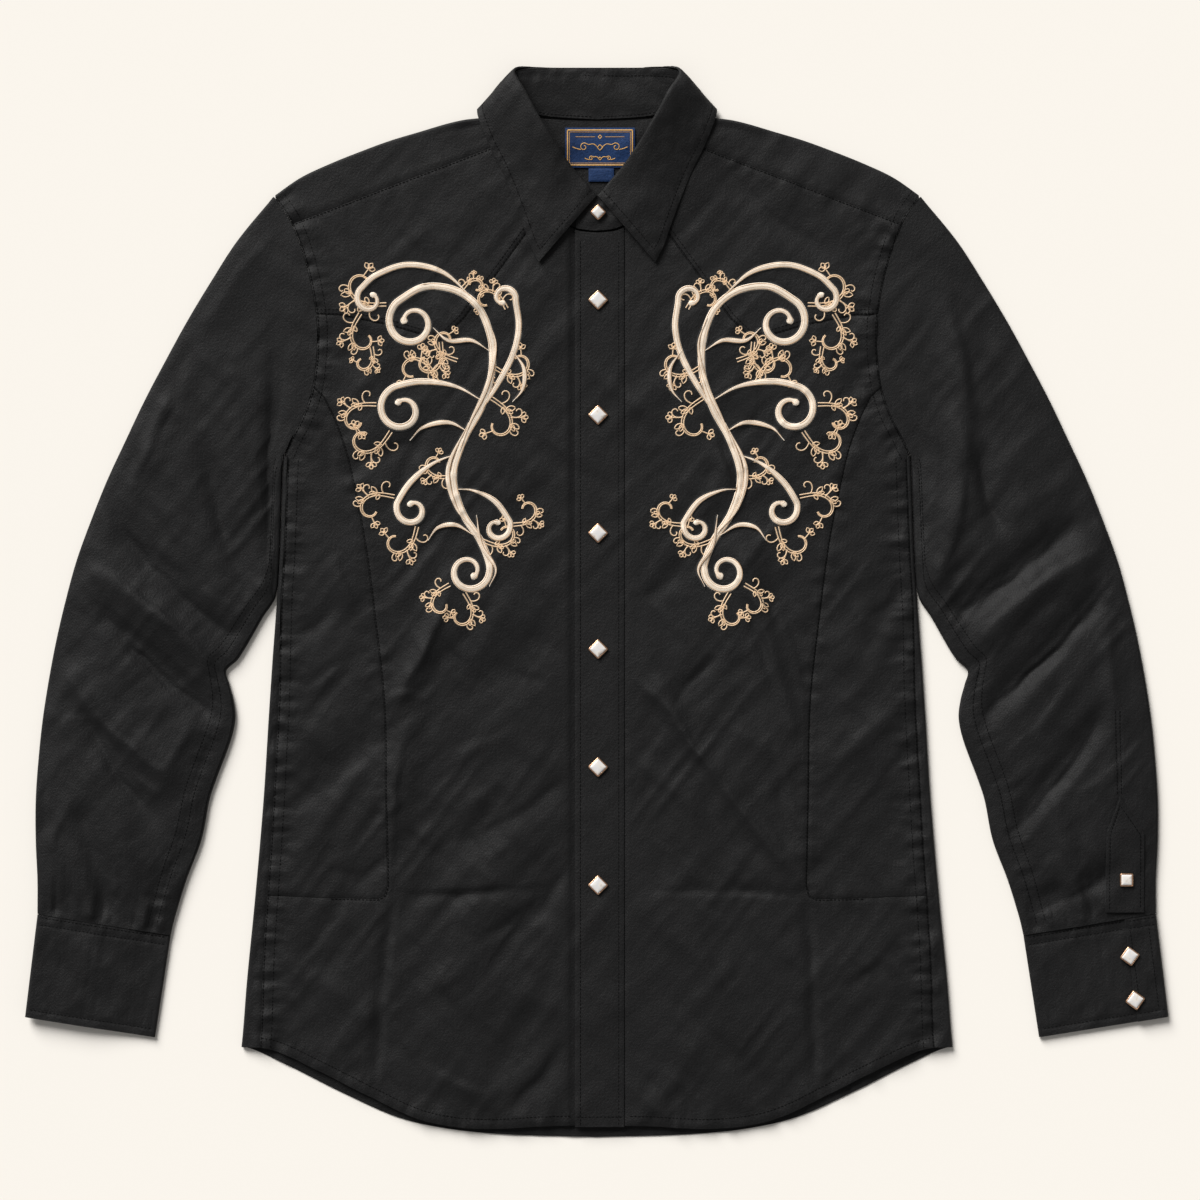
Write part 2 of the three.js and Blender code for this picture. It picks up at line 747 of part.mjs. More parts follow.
// Sleeve: a flattened tube between its outer and inner edges
function sleevePlan(across, along) {
  const armTopY = armTip[1];
  const cuffOuterY = SLEEVE_OUTER[0][0];
  const cuffInnerY = SLEEVE_INNER[0][0];
  const outerY = mix(armTopY, cuffOuterY, along ** 0.84);
  const innerY = mix(underarmY, cuffInnerY, along);
  const outer = [follow(SLEEVE_OUTER, outerY), outerY];
  const inner = [follow(SLEEVE_INNER, innerY), innerY];
  const armY = mix(armTopY, underarmY, across);
  const arm = [follow(ARMHOLE, armY), armY];
  const point = [0, 0];
  for (const axis of [0, 1]) {
    const straight = axis === 0
      ? mix(armTip[0], SLEEVE_INNER.at(-1)[1], across)
      : mix(armTopY, underarmY, across);
    const bulge = (arm[axis] - straight) * (1 - smooth(0, 0.5, along));
    point[axis] = mix(outer[axis], inner[axis], across) + bulge;
  }
  const body = point[1] > underarmY ? follow(ARMHOLE, point[1]) : follow(BODY_EDGE, point[1]);
  const clear = (ROLL + 1 + 40 * (1 - across)) * smooth(0, 0.07, along);
  return [Math.max(point[0], body + clear), point[1]];
}

function sleeveTop(folds, side, x, y, across, along) {
  const round = Math.sin(Math.PI * clamp(across, 0, 1)) ** 0.7;
  const body = smooth(0.02, 0.3, along) * (1 - smooth(0.84, 1, along));
  const full = EDGE_HEIGHT + 3.2 * round * body + 0.8 * round;
  const bumps = foldHeight(folds, side * x, y) * smooth(0.04, 0.2, Math.min(across, 1 - across));
  const free = full + bumps;
  const high = Math.max(free, LOWEST_FRONT + 0.15 * (free - LOWEST_FRONT));
  return mix(bodyTop(side * x, y), high, smooth(0, 0.12, along));
}

// The right wrist lies on its hidden snaps, so its cloth is lifted towards the outer edge
function wristLift(across) {
  return SNAP_LIFT * (1 - smooth(0.35, 0.95, across));
}

function sleeveLift(side, x, y, across, along) {
  if (side > 0) {
    return 0;
  }
  const atBand = BAND_LIFT * (1 - smooth(6, 45, Math.hypot(x - SLEEVE_SNAP[0], y - SLEEVE_SNAP[1])));
  return wristLift(across) * smooth(0.6, 0.82, along) + atBand;
}

// Place on the sleeve of a point near the wrist, as shares across and along it
function sleevePlace(x, y) {
  let across = 0.2;
  let along = 0.9;
  for (let pass = 0; pass < 12; pass += 1) {
    let low = 0.5;
    let high = 1;
    for (let halving = 0; halving < 24; halving += 1) {
      along = (low + high) / 2;
      if (sleevePlan(across, along)[1] > y) {
        low = along;
      } else {
        high = along;
      }
    }
    const outerX = sleevePlan(0, along)[0];
    across = clamp((outerX - x) / (outerX - sleevePlan(1, along)[0]), 0, 1);
  }
  return [across, along];
}

function edgeNormal(table, y, inward) {
  const dx = (follow(table, y + 4) - follow(table, y - 4)) / 8;
  const length = Math.hypot(1, dx);
  return [inward / length, (-inward * dx) / length];
}

// The sleeve's lengthwise lines start at the corners of the armhole line
const SLEEVE_ACROSS = ARMHOLE.slice(1, -1).reverse().map(([y]) => (armTip[1] - y) / (armTip[1] - underarmY));
const SLEEVE_UNDER = SLEEVE_ACROSS.slice().reverse();
const SLEEVE_CLEAR = 0.45;
const SLEEVE_TIP_CLEAR = 1.1;

function sleeveRow(folds, side, along) {
  const row = [];
  const outerY = mix(armTip[1], SLEEVE_OUTER[0][0], along ** 0.84);
  const innerY = mix(underarmY, SLEEVE_INNER[0][0], along);
  const roll = (table, y, inward, from, to, across) => {
    const [nx, ny] = edgeNormal(table, clamp(y, table[0][0] + 4, table.at(-1)[0] - 4), inward);
    const x = follow(table, y);
    const radius = ROLL - CLOTH / 2;
    for (let k = 0; k <= ROLL_STEPS; k += 1) {
      const angle = mix(from, to, k / ROLL_STEPS);
      const out = ROLL - radius * Math.cos(angle);
      const px = x + nx * out;
      const py = y + ny * out;
      row.push([px, py, ROLL + radius * Math.sin(angle) + sleeveLift(side, px, py, across, along)]);
    }
  };
  roll(SLEEVE_OUTER, outerY, -1, -Math.PI / 2, Math.PI / 2, 0);
  for (const across of SLEEVE_ACROSS) {
    const [x, y] = sleevePlan(across, along);
    const lift = sleeveLift(side, x, y, across, along);
    row.push([x, y, sleeveTop(folds, side, x, y, across, along) - CLOTH / 2 + lift]);
  }
  roll(SLEEVE_INNER, innerY, 1, Math.PI / 2, -Math.PI / 2, 1);
  for (const across of SLEEVE_UNDER) {
    const [x, y] = sleevePlan(across, along);
    row.push([x, y, CLOTH / 2 + sleeveLift(side, x, y, across, along)]);
  }
  return row;
}

function sleeve(side) {
  const folds = side > 0 ? SLEEVE_LEFT_FOLDS : SLEEVE_RIGHT_FOLDS;
  const middle = steps(0, 1, 1 / SLEEVE_ROWS).map((along) => sleeveRow(folds, side, along));
  const rolled = ROLL_STEPS + 1;
  const count = SLEEVE_ACROSS.length;
  middle[0] = middle[0].map(([x, y, z], k) => {
    const onTip = k < rolled;
    const onUnderarm = k >= rolled + count && k < 2 * rolled + count;
    if (onUnderarm) {
      return [x + SLEEVE_CLEAR, y, z];
    }
    const slope = (follow(ARMHOLE, y + 3) - follow(ARMHOLE, y - 3)) / 6;
    const length = Math.hypot(1, slope);
    const clear = onTip ? SLEEVE_TIP_CLEAR : SLEEVE_CLEAR + 1 - smooth(underarmY, 160, y);
    return [x + clear / length, y - (clear * slope) / length, z];
  });
  const placed = middle.map((row) => row.map(([x, y, z]) => [side * x, y, z]));
  return wallAbout(placed, CLOTH, { wrap: true });
}

// Cuff: a band wound once round the wrist end with its ends lapped and snapped
function cuffPoint(u, v, corners) {
  const top = [
    mix(corners.topOuter[0], corners.topInner[0], u),
    mix(corners.topOuter[1], corners.topInner[1], u),
  ];
  const bottom = [
    mix(corners.bottomOuter[0], corners.bottomInner[0], u),
    mix(corners.bottomOuter[1], corners.bottomInner[1], u),
  ];
  return [mix(top[0], bottom[0], v), mix(top[1], bottom[1], v)];
}

const CUFF_LOW = CUFF_CLOTH / 2;
const CUFF_HIGH = CUFF_CLOTH * 1.5 + CUFF_GAP;
const CUFF_LAP = CUFF_HIGH + CUFF_CLOTH + SEAM;

// Height of the cuff's uppermost layer at a share of its width from the outer edge
function cuffLapTop() {
  return CUFF_LAP + CUFF_CLOTH / 2;
}

function cuff(side) {
  const width = 104;
  const path = [];
  const hidden = side < 0;
  // u runs from the outer edge to the inner one
  const flat = (from, to, zFrom, zTo, count) => {
    for (let k = 0; k <= count; k += 1) {
      path.push([mix(from, to, k / count), mix(zFrom, zTo, k / count)]);
    }
  };
  const turn = (edge, direction, zFrom, zTo) => {
    const radius = Math.abs(zTo - zFrom) / 2;
    for (let k = 1; k < ROLL_STEPS; k += 1) {
      const angle = (Math.PI * k) / ROLL_STEPS;
      const out = (radius * Math.sin(angle)) / width;
      path.push([edge + direction * out, mix(zFrom, zTo, (1 - Math.cos(angle)) / 2)]);
    }
  };
  const innerEdge = 1 - (CUFF_HIGH - CUFF_LOW) / 2 / width - CUFF_CLOTH / 2 / width;
  const outerEdge = (CUFF_LAP - CUFF_LOW) / 2 / width + CUFF_CLOTH / 2 / width;
  flat(0.06, 0.3, CUFF_HIGH, CUFF_HIGH, 2);
  flat(0.5, innerEdge, CUFF_HIGH, CUFF_HIGH, 3);
  turn(innerEdge, 1, CUFF_HIGH, CUFF_LOW);
  flat(innerEdge, outerEdge, CUFF_LOW, CUFF_LOW, 4);
  turn(outerEdge, -1, CUFF_LOW, CUFF_LAP);
  flat(outerEdge, OVERLAP_SHARE, CUFF_LAP, CUFF_LAP, 2);
  const total = CUFF_LAP + CUFF_LOW;
  const middle = [];
  for (const v of [0, 0.2, 0.5, 0.8, 1]) {
    middle.push(path.map(([u, z]) => {
      const [x, y] = cuffPoint(u, v, CUFF_CORNERS);
      const settled = wristLift(u) - (CUFF_LAP - CUFF_HIGH) * smooth(0.35, 0.95, u);
      return [side * x, y, hidden ? total - z + settled : z];
    }));
  }
  return wallAbout(middle, CUFF_CLOTH);
}

// Pointed band over the sleeve's slit: on the upper side of the left sleeve and the
// under side of the right one
function bandHeight(side, x, y) {
  const [across, along] = sleevePlace(x, y);
  if (side < 0) {
    return sleeveLift(side, x, y, across, along) - LAID;
  }
  return sleeveTop(SLEEVE_LEFT_FOLDS, side, x, y, across, along) + BAND_CLEAR;
}

function sleeveBand(side) {
  const shoulderY = SLEEVE_BAND.shoulder;
  const straightPart = steps(SLEEVE_BAND.low, shoulderY, 16);
  const levels = [...straightPart, mix(shoulderY, SLEEVE_BAND.tipY, 0.5), SLEEVE_BAND.tipY];
  const inside = levels.map((y) => {
    const toTip = Math.max(0, (y - shoulderY) / (SLEEVE_BAND.tipY - shoulderY));
    const centre = mix(SLEEVE_BAND.centreX, SLEEVE_BAND.tipX, toTip);
    const half = SLEEVE_BAND.halfWidth * Math.max(1 - toTip, 0.06);
    return [-1, -0.5, 0, 0.5, 1].map((share) => {
      const x = centre + share * half;
      return [side * x, y, bandHeight(side, x, y)];
    });
  });
  const outside = inside.map((row) => row.map(([x, y, z]) => [x, y, z + side * CLOTH]));
  return wall(outside, inside);
}

// Collar

function collarSection(step) {
  const row = (column) => follow(STAND_ROWS, step, column);
  const neck = new THREE.Vector3(row(1), row(2), row(3));
  const top = new THREE.Vector3(row(4), row(5), row(6));
  const slope = (column) => follow(STAND_ROWS, step + 0.1, column) - follow(STAND_ROWS, step - 0.1, column);
  const outward = new THREE.Vector3(slope(5), -slope(4), 0).normalize();
  const angle = THREE.MathUtils.degToRad(row(7));
  const turn = outward.multiplyScalar(Math.cos(angle)).add(new THREE.Vector3(0, 0, Math.sin(angle)));
  return { neck, top, turn, handle: row(8) };
}

function bezier(p0, p1, p2, p3, t) {
  const s = 1 - t;
  const weights = [s * s * s, 3 * s * s * t, 3 * s * t * t, t * t * t];
  const sum = new THREE.Vector3();
  [p0, p1, p2, p3].forEach((p, k) => sum.addScaledVector(p, weights[k]));
  return sum;
}

// The under end of the stand lies below the upper end at the front
const STAND_END_DROP = 2.1;

function standRow(step, lower) {
  const low = lower ? 1 - smooth(0.5, 1.6, step) : 0;
  const { neck, top, turn, handle } = collarSection(step);
  neck.z -= STAND_END_DROP * low;
  top.z -= lower ? 3.4 * (1 - smooth(-0.4, 0, step)) : 0;
  const rise = neck.clone().lerp(top, 0.35);
  rise.z = mix(rise.z, neck.z - 0.3, low);
  const before = top.clone().addScaledVector(turn, -handle - low * Math.max(step, 0) * 1.5);
  const gap = FOLD_GAP + CORNER_GAP * Math.exp(-(((step - CORNER_STEP) / 0.7) ** 2));
  const end = top.clone().addScaledVector(turn, -gap);
  const row = [0, 0.25, 0.5, 0.75].map((t) => bezier(neck, rise, before, end, t).toArray());
  return [...row, end.clone().addScaledVector(turn, -0.4).toArray(), end.toArray()];
}

function collarStand() {
  const stepsOut = [-1, -0.5, ...COLLAR_STEPS];
  const upper = stepsOut.map((step) => standRow(step, false));
  const lower = stepsOut.map((step) => standRow(step, true).map(([x, y, z]) => [-x, y, z]));
  return wallAbout([...upper, standRow(LAST_COLLAR_STEP, false), ...lower.reverse()], STAND_CLOTH);
}

function leafRow(step) {
  const { top, turn, handle } = collarSection(step);
  const edge = new THREE.Vector3(...[1, 2, 3].map((column) => follow(LEAF_EDGE, step, column)));
  const lift = follow(LEAF_EDGE, step, 4);
  const start = top.clone().addScaledVector(turn, 0.4);
  const after = top.clone().addScaledVector(turn, handle);
  const before = edge.clone().lerp(top, 0.45);
  before.z = edge.z + lift;
  const row = [0, 0.12, 0.28, 0.5, 0.75, 1].map((t) => bezier(start, after, before, edge, t).toArray());
  return [top.toArray(), ...row];
}

function collarLeaf() {
  const rows = COLLAR_STEPS.map((step) => leafRow(step));
  const other = rows.map((row) => row.map(([x, y, z]) => [-x, y, z]));
  return wallAbout([...rows, leafRow(LAST_COLLAR_STEP), ...other.reverse()], LEAF_CLOTH);
}

// Placket and labels

function placket() {
  const xLines = [PLACKET_FREE_EDGE_X, 2, PLACKET_SEAM_X];
  const yLines = steps(PLACKET_HEM_Y, 288, 28);
  const top = yLines.map((level, k) => xLines.map((x) => {
    const neckGap = k === yLines.length - 1 ? follow(FRONT_NECK, Math.abs(x)) - 288.6 : 0;
    const y = level + neckGap;
    return [x, y, placketTop(x, y)];
  }));
  return wall(top, top.map((row) => row.map(([x, y, z]) => [x, y, z - STIFF_CLOTH])));
}

function tab({ x, y, width, height }, thickness) {
  const rows = [];
  for (const v of [-0.5, -0.25, 0, 0.25, 0.5]) {
    rows.push([-0.5, 0, 0.5].map((u) => {
      const px = x + u * width;
      const py = y + v * height;
      return [px, py, yokeInsideTop(px, py) + LAID + 0.1];
    }));
  }
  return wall(rows.map((row) => row.map(([px, py, pz]) => [px, py, pz + thickness])), rows);
}

// Snaps: a square bezel set cornerwise with a pearl inlay

function turnedProfile(profile) {
  return new THREE.LatheGeometry(profile.map(([r, z]) => new THREE.Vector2(r, z)), 4);
}

// A lathe's points on its axis are merged and the empty faces there are dropped
function closed(geometry) {
  geometry.deleteAttribute('normal');
  geometry.deleteAttribute('uv');
  const merged = mergeVertices(geometry, 1e-4);
  const corners = Array.from(merged.index.array);
  const faces = [];
  for (let k = 0; k < corners.length; k += 3) {
    const [a, b, c] = corners.slice(k, k + 3);
    if (a !== b && b !== c && c !== a) {
      faces.push(a, b, c);
    }
  }
  merged.setIndex(faces);
  return merged;
}

function bezelShape(side) {
  const r = side / Math.SQRT2;
  const rim = [[r, 0], [r, 1.0], [r - 1.0, 1.8], [r - 2.0, 1.8], [r - 2.0, 0.9]];
  return closed(turnedProfile([[0, 0], ...rim, [0, 0.9]]));
}

function pearlShape(side) {
  const r = side / Math.SQRT2 - 2.5;
  return closed(turnedProfile([[0, 1.2], [r, 1.2], [r, 1.8], [r - 1.6, 2.3], [0, 2.4]]));
}

function material(colour, roughness, metalness = 0) {
  return new THREE.MeshStandardMaterial({ color: colour, roughness, metalness, side: THREE.DoubleSide });
}

const shirt = new THREE.Group();

function add(name, geometry, kind, parent = shirt) {
  const plain = geometry.index ? geometry : mergeVertices(geometry);
  plain.computeVertexNormals();
  const mesh = new THREE.Mesh(plain, kind);
  mesh.name = name;
  parent.add(mesh);
  return mesh;
}

const cloth = material(COLOURS.cloth, 0.9);
const collarCloth = material(COLOURS.collar, 0.9);
const metal = material(COLOURS.metal, 0.35, 0.9);
const pearl = material(COLOURS.pearl, 0.25);
const tabCloth = material(COLOURS.label, 0.8);

// A lathe turns about its own Y, so each snap is stood up by a quarter turn
function addSnap(name, side, x, y, z, { tilt = 0, turn = 0, under = false } = {}) {
  const holder = new THREE.Group();
  holder.position.set(x, y, z);
  holder.rotation.set(Math.PI / 2 + tilt + (under ? Math.PI : 0), turn, 0, 'ZXY');
  shirt.add(holder);
  add(`${name}_bezel`, bezelShape(side), metal, holder);
  add(`${name}_pearl`, pearlShape(side), pearl, holder);
}

add('back', backPanel(), cloth);
add('back_yoke', backYoke(), cloth);

const underlapDrop = (x) => UNDERLAP_DROP * smooth(-23.5, -18.2, x);
const rightBlank = frontBlank(-1, [-18.2, 0, 18.2, 23.6, ...steps(40, 274, BODY_CELL_X)], underlapDrop);
const leftBlank = frontBlank(1, [20.8, ...steps(40, 274, BODY_CELL_X)], () => 0);
add('front_right', cutPiece(rightBlank, frontOutline(-UNDERLAP_X), -1), cloth);
add('front_left', cutPiece(leftBlank, frontOutline(PLACKET_SEAM_X + HALF_SEAM), 1), cloth);
for (const [name, blank, side] of [['right', rightBlank, -1], ['left', leftBlank, 1]]) {
  add(`side_front_${name}`, cutPiece(blank, sideFrontOutline(), side), cloth);
  add(`front_yoke_${name}`, cutPiece(blank, frontYokeOutline(), side), cloth);
  add(`sleeve_${name}`, sleeve(side), cloth);
  add(`cuff_${name}`, cuff(side), cloth);
}
add('placket', placket(), cloth);
add('collar_stand', collarStand(), collarCloth);
add('collar_leaf', collarLeaf(), collarCloth);
add('label', tab(LABEL, 1.0), tabCloth);
add('size_tab', tab(SIZE_TAB, 1.0), tabCloth);

const { x: standX, y: standY, z: standZ, tilt } = STAND_SNAP;
addSnap('front_snap_1', STAND_SNAP.side, standX, standY, standZ, { tilt });
FRONT_SNAP_Y.forEach((y, k) => {
  addSnap(`front_snap_${k + 2}`, SNAP_SIDE, SNAP_X, y, placketTop(SNAP_X, y) + SEAM);
});
const wristTurn = Math.atan2(
  CUFF_CORNERS.topInner[1] - CUFF_CORNERS.topOuter[1],
  CUFF_CORNERS.topOuter[0] - CUFF_CORNERS.topInner[0],
);
for (const [name, side] of [['right', -1], ['left', 1]]) {
  const under = side < 0;
  add(`sleeve_placket_${name}`, sleeveBand(side), cloth);
  CUFF_SNAPS.forEach(([x, y], k) => {
    const z = under ? SNAP_LIFT - SEAM : cuffLapTop() + SEAM;
    addSnap(`cuff_${name}_snap_${k + 1}`, SNAP_SIDE, side * x, y, z, { turn: side * wristTurn, under });
  });
  const [x, y] = SLEEVE_SNAP;
  const face = bandHeight(side, x, y) + side * (CLOTH + SEAM + SNAP_SEAT);
  addSnap(`sleeve_${name}_snap`, SLEEVE_SNAP_SIDE, side * x, y, face, { turn: side * wristTurn, under });
}

export default shirt;
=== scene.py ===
# Western snap shirt laid flat on its back, seen from straight above.
# The arithmetic is in millimetres, and meshes are made in metres in the CAD frame.
# +X is the wearer's left, +Y runs up to the collar, +Z is up.
import math

import bpy
import numpy as np
from mathutils.geometry import delaunay_2d_cdt
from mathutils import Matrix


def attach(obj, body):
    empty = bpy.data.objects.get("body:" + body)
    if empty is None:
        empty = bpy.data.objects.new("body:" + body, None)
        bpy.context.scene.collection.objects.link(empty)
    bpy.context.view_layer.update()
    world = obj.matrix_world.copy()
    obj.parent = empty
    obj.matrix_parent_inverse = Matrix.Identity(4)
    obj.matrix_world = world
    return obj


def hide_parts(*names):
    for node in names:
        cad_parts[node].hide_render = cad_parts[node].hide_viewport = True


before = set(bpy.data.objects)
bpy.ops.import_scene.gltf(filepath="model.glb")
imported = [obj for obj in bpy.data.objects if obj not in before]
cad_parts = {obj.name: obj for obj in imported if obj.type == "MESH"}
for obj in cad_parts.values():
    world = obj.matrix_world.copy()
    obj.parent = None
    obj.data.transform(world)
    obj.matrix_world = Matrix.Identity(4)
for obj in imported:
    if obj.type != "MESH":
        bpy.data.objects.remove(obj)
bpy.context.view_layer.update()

MM = 0.001
SEED = 41

# Camera: straight down, the photograph's frame is 936 mm across
VIEW_WIDTH = 0.936
VIEW_CENTRE = (0.0023, 0.0016)
CAMERA_HEIGHT = 2.6
CAMERA_SENSOR = 36.0

camera_data = bpy.data.cameras.new("camera")
camera_data.sensor_width = CAMERA_SENSOR
camera_data.lens = CAMERA_SENSOR * CAMERA_HEIGHT / VIEW_WIDTH
camera = bpy.data.objects.new("camera", camera_data)
camera.location = (*VIEW_CENTRE, CAMERA_HEIGHT + 0.006)
bpy.context.scene.collection.objects.link(camera)
bpy.context.scene.camera = camera

# Cloth
CLOTH = 1.2
SHELL = 0.9
STIFF_CLOTH = 1.6
HALF_SEAM = 0.15
EDGE_HEIGHT = 4.6
ROLL = EDGE_HEIGHT / 2
LOWEST_FRONT = 3.3
CELL = 2.6
ROLL_STEPS = 10

# Flat outline, drawn for one half
ARMHOLE = [
    # y, x
    [113.9, 245.0], [127.9, 238.5], [145.0, 229.5], [165.0, 222.6], [190.0, 219.0], [215.0, 218.4],
    [238.7, 221.3], [260.0, 226.0], [280.0, 232.1], [298.7, 240.0], [309.7, 247.3], [316.7, 252.6],
]
BODY_EDGE = [
    # y, x
    [-420, 287.0], [-347, 277.7], [-295, 273.4], [-232, 267.2], [-154, 260.5], [-92, 256.6],
    [-45, 253.5], [-14, 251.2], [33, 248.0], [80, 246.2], [113.9, 245.0],
]
SIDE_SEAM = [
    # y, x
    [-420, 272.0], [-347, 263.4], [-271, 260.3], [-186, 254.6], [-123, 251.0], [-76, 248.6],
    [-30, 247.6], [0, 246.8], [40, 244.4], [113.9, 241.6],
]
SHOULDER_FOLD = [
    # x, y
    [70.0, 380.5], [91.3, 377.8], [104.0, 376.4], [118.0, 373.3], [138.1, 367.4], [161.5, 360.4],
    [184.9, 351.8], [208.3, 342.4], [231.7, 331.3], [252.6, 316.7],
]
SHOULDER_SEAM = [
    # x, y
    [60.0, 362.5], [87.9, 352.6], [124.2, 338.8], [162.7, 324.1], [196.6, 311.0], [250.0, 290.6],
]
FRONT_NECK = [
    # x, y
    [0.0, 288.6], [16.0, 290.6], [31.0, 299.0], [45.0, 311.0], [56.0, 325.0], [65.0, 341.0], [71.0, 358.8],
]
FRONT_HEM = [
    # x, y
    [0.0, -408.5], [45.2, -409.5], [83.5, -411.4], [115.0, -409.3], [142.7, -402.5], [176.7, -386.5],
    [218.4, -365.5], [254.3, -349.6], [290.0, -345.0],
]
BACK_HEM = [
    # x, y
    [0.0, -418.1], [71.0, -416.0], [114.7, -411.8], [154.8, -402.9], [200.5, -382.7], [244.1, -360.8],
    [275.0, -347.5], [300.0, -345.5],
]
PRINCESS_SEAM = [
    # y, x
    [-221.0, 163.5], [-154.0, 165.0], [-76.0, 166.8], [-6.0, 174.5], [33.0, 179.4], [64.0, 184.6],
    [95.0, 191.0], [119.0, 196.8], [142.0, 205.0], [160.0, 213.6],
]
PRINCESS_CORNER = [
    # x, y
    [208.0, -231.0], [171.0, -231.7], [165.6, -228.6],
]
PRINCESS_TOP = [222.2, 168.0]
FRONT_YOKE_SEAM = [
    # x, y
    [202.0, 223.9], [162.0, 216.0], [122.0, 204.0], [104.0, 221.0], [86.2, 245.0], [58.4, 283.2],
]
YOKE_ARM_END = [219.6, 224.7]
YOKE_NECK_END = [51.4, 292.6]
NECK_JOIN = [36.5, 303.4]
BACK_YOKE_SEAM_Y = 238.0
HEM_TURN_Y = -347.5
SIDE_CORNER_Y = -229.0

SLEEVE_OUTER = [
    # y, x
    [-243.2, 436.6], [-216.8, 436.5], [-185.6, 438.0], [-154.4, 438.0], [-123.2, 436.0], [-92.0, 432.9],
    [-60.8, 428.2], [-29.6, 422.3], [1.6, 415.0], [32.8, 406.4], [64.0, 395.1], [95.2, 382.6],
    [126.4, 368.1], [157.6, 353.3], [188.8, 336.9], [220.0, 319.8], [251.2, 301.0], [282.4, 280.8],
    [316.7, 252.6],
]
SLEEVE_INNER = [
    # y, x
    [-260.2, 333.0], [-247.0, 329.9], [-216.8, 320.6], [-185.6, 308.9], [-154.4, 302.6], [-138.8, 297.5],
    [-107.6, 285.9], [-90.5, 282.4], [-76.4, 283.9], [-64.0, 287.2], [-53.5, 289.4], [-45.2, 280.8],
    [-29.6, 271.0], [-12.5, 261.3], [3.9, 251.2], [33.0, 248.3], [80.0, 246.5], [113.9, 245.3],
]
CUFF_CORNERS = {
    "top_outer": (436.6, -243.6),
    "top_inner": (333.0, -260.6),
    "bottom_inner": (345.2, -339.8),
    "bottom_outer": (446.3, -323.5),
}

# Broad folds, the same as in the solids
BODY_FOLDS = [
    # x1, y1, x2, y2, width, height
    [-246, -28, -212, -12, 9, -1.3], [-240, -90, -188, -48, 11, -1.5], [-240, -162, -170, -94, 13, -1.8],
    [-220, -274, -192, -222, 10, -1.5], [-190, 105, -148, 122, 10, -1.3], [-134, 142, -160, 84, 9, -1.6],
    [-113, 15, -152, -72, 11, 2.6], [-146, -96, -158, -176, 12, 1.8], [-110, -188, -24, -137, 12, -1.7],
    [-54, -248, -22, -203, 10, -1.3], [-66, -350, -24, -290, 12, -1.5], [-110, -282, -60, -170, 24, 2.2],
    [-80, -60, -44, -30, 12, -1.3], [-120, -332, -88, -382, 12, 1.6], [-90, 130, -60, 40, 20, 1.6],
    [100, 337, 170, 280, 12, -1.4], [92, 135, 115, 75, 10, -1.4], [154, 132, 182, 88, 10, 1.5],
    [114, 34, 150, -92, 11, 2.4], [136, 2, 164, -98, 10, -1.6], [28, -40, 58, -84, 9, 1.6],
    [58, -84, 156, -214, 10, 2.2], [26, 2, 62, 22, 9, -1.2], [136, -110, 160, -190, 11, 1.6],
    [60, -250, 110, -330, 20, 1.8], [212, -20, 240, 20, 12, -1.2], [190, -120, 240, -70, 14, 1.5],
    [196, -300, 236, -260, 14, 1.6],
]
SLEEVE_RIGHT_FOLDS = [
    # x1, y1, x2, y2, width, height
    [-247, 210, -252, 40, 9, -1.6], [-317, 182, -358, 93, 9, 1.8], [-302, 105, -272, 18, 10, -1.8],
    [-376, 66, -290, -26, 11, -2.0], [-391, 22, -299, -50, 11, 3.0], [-382, -12, -304, -84, 10, -2.0],
    [-415, -54, -337, -134, 10, 2.4], [-394, -93, -353, -158, 9, -1.6], [-336, -128, -322, -100, 8, 1.6],
    [-400, -170, -384, -230, 8, -1.6], [-372, -180, -356, -240, 8, 1.6],
]
SLEEVE_LEFT_FOLDS = [
    # x1, y1, x2, y2, width, height
    [272, 243, 288, 123, 11, 2.2], [288, 123, 266, 18, 10, 1.8], [295, 138, 313, 63, 9, -1.8],
    [284, -6, 370, 60, 10, -2.0], [302, -26, 390, 40, 11, 3.0], [302, -86, 400, 14, 10, -2.0],
    [319, -182, 388, -96, 10, -1.8], [400, -26, 408, -86, 9, 1.8], [340, -236, 396, -214, 9, -1.6],
    [360, -160, 372, -232, 8, 1.6],
]

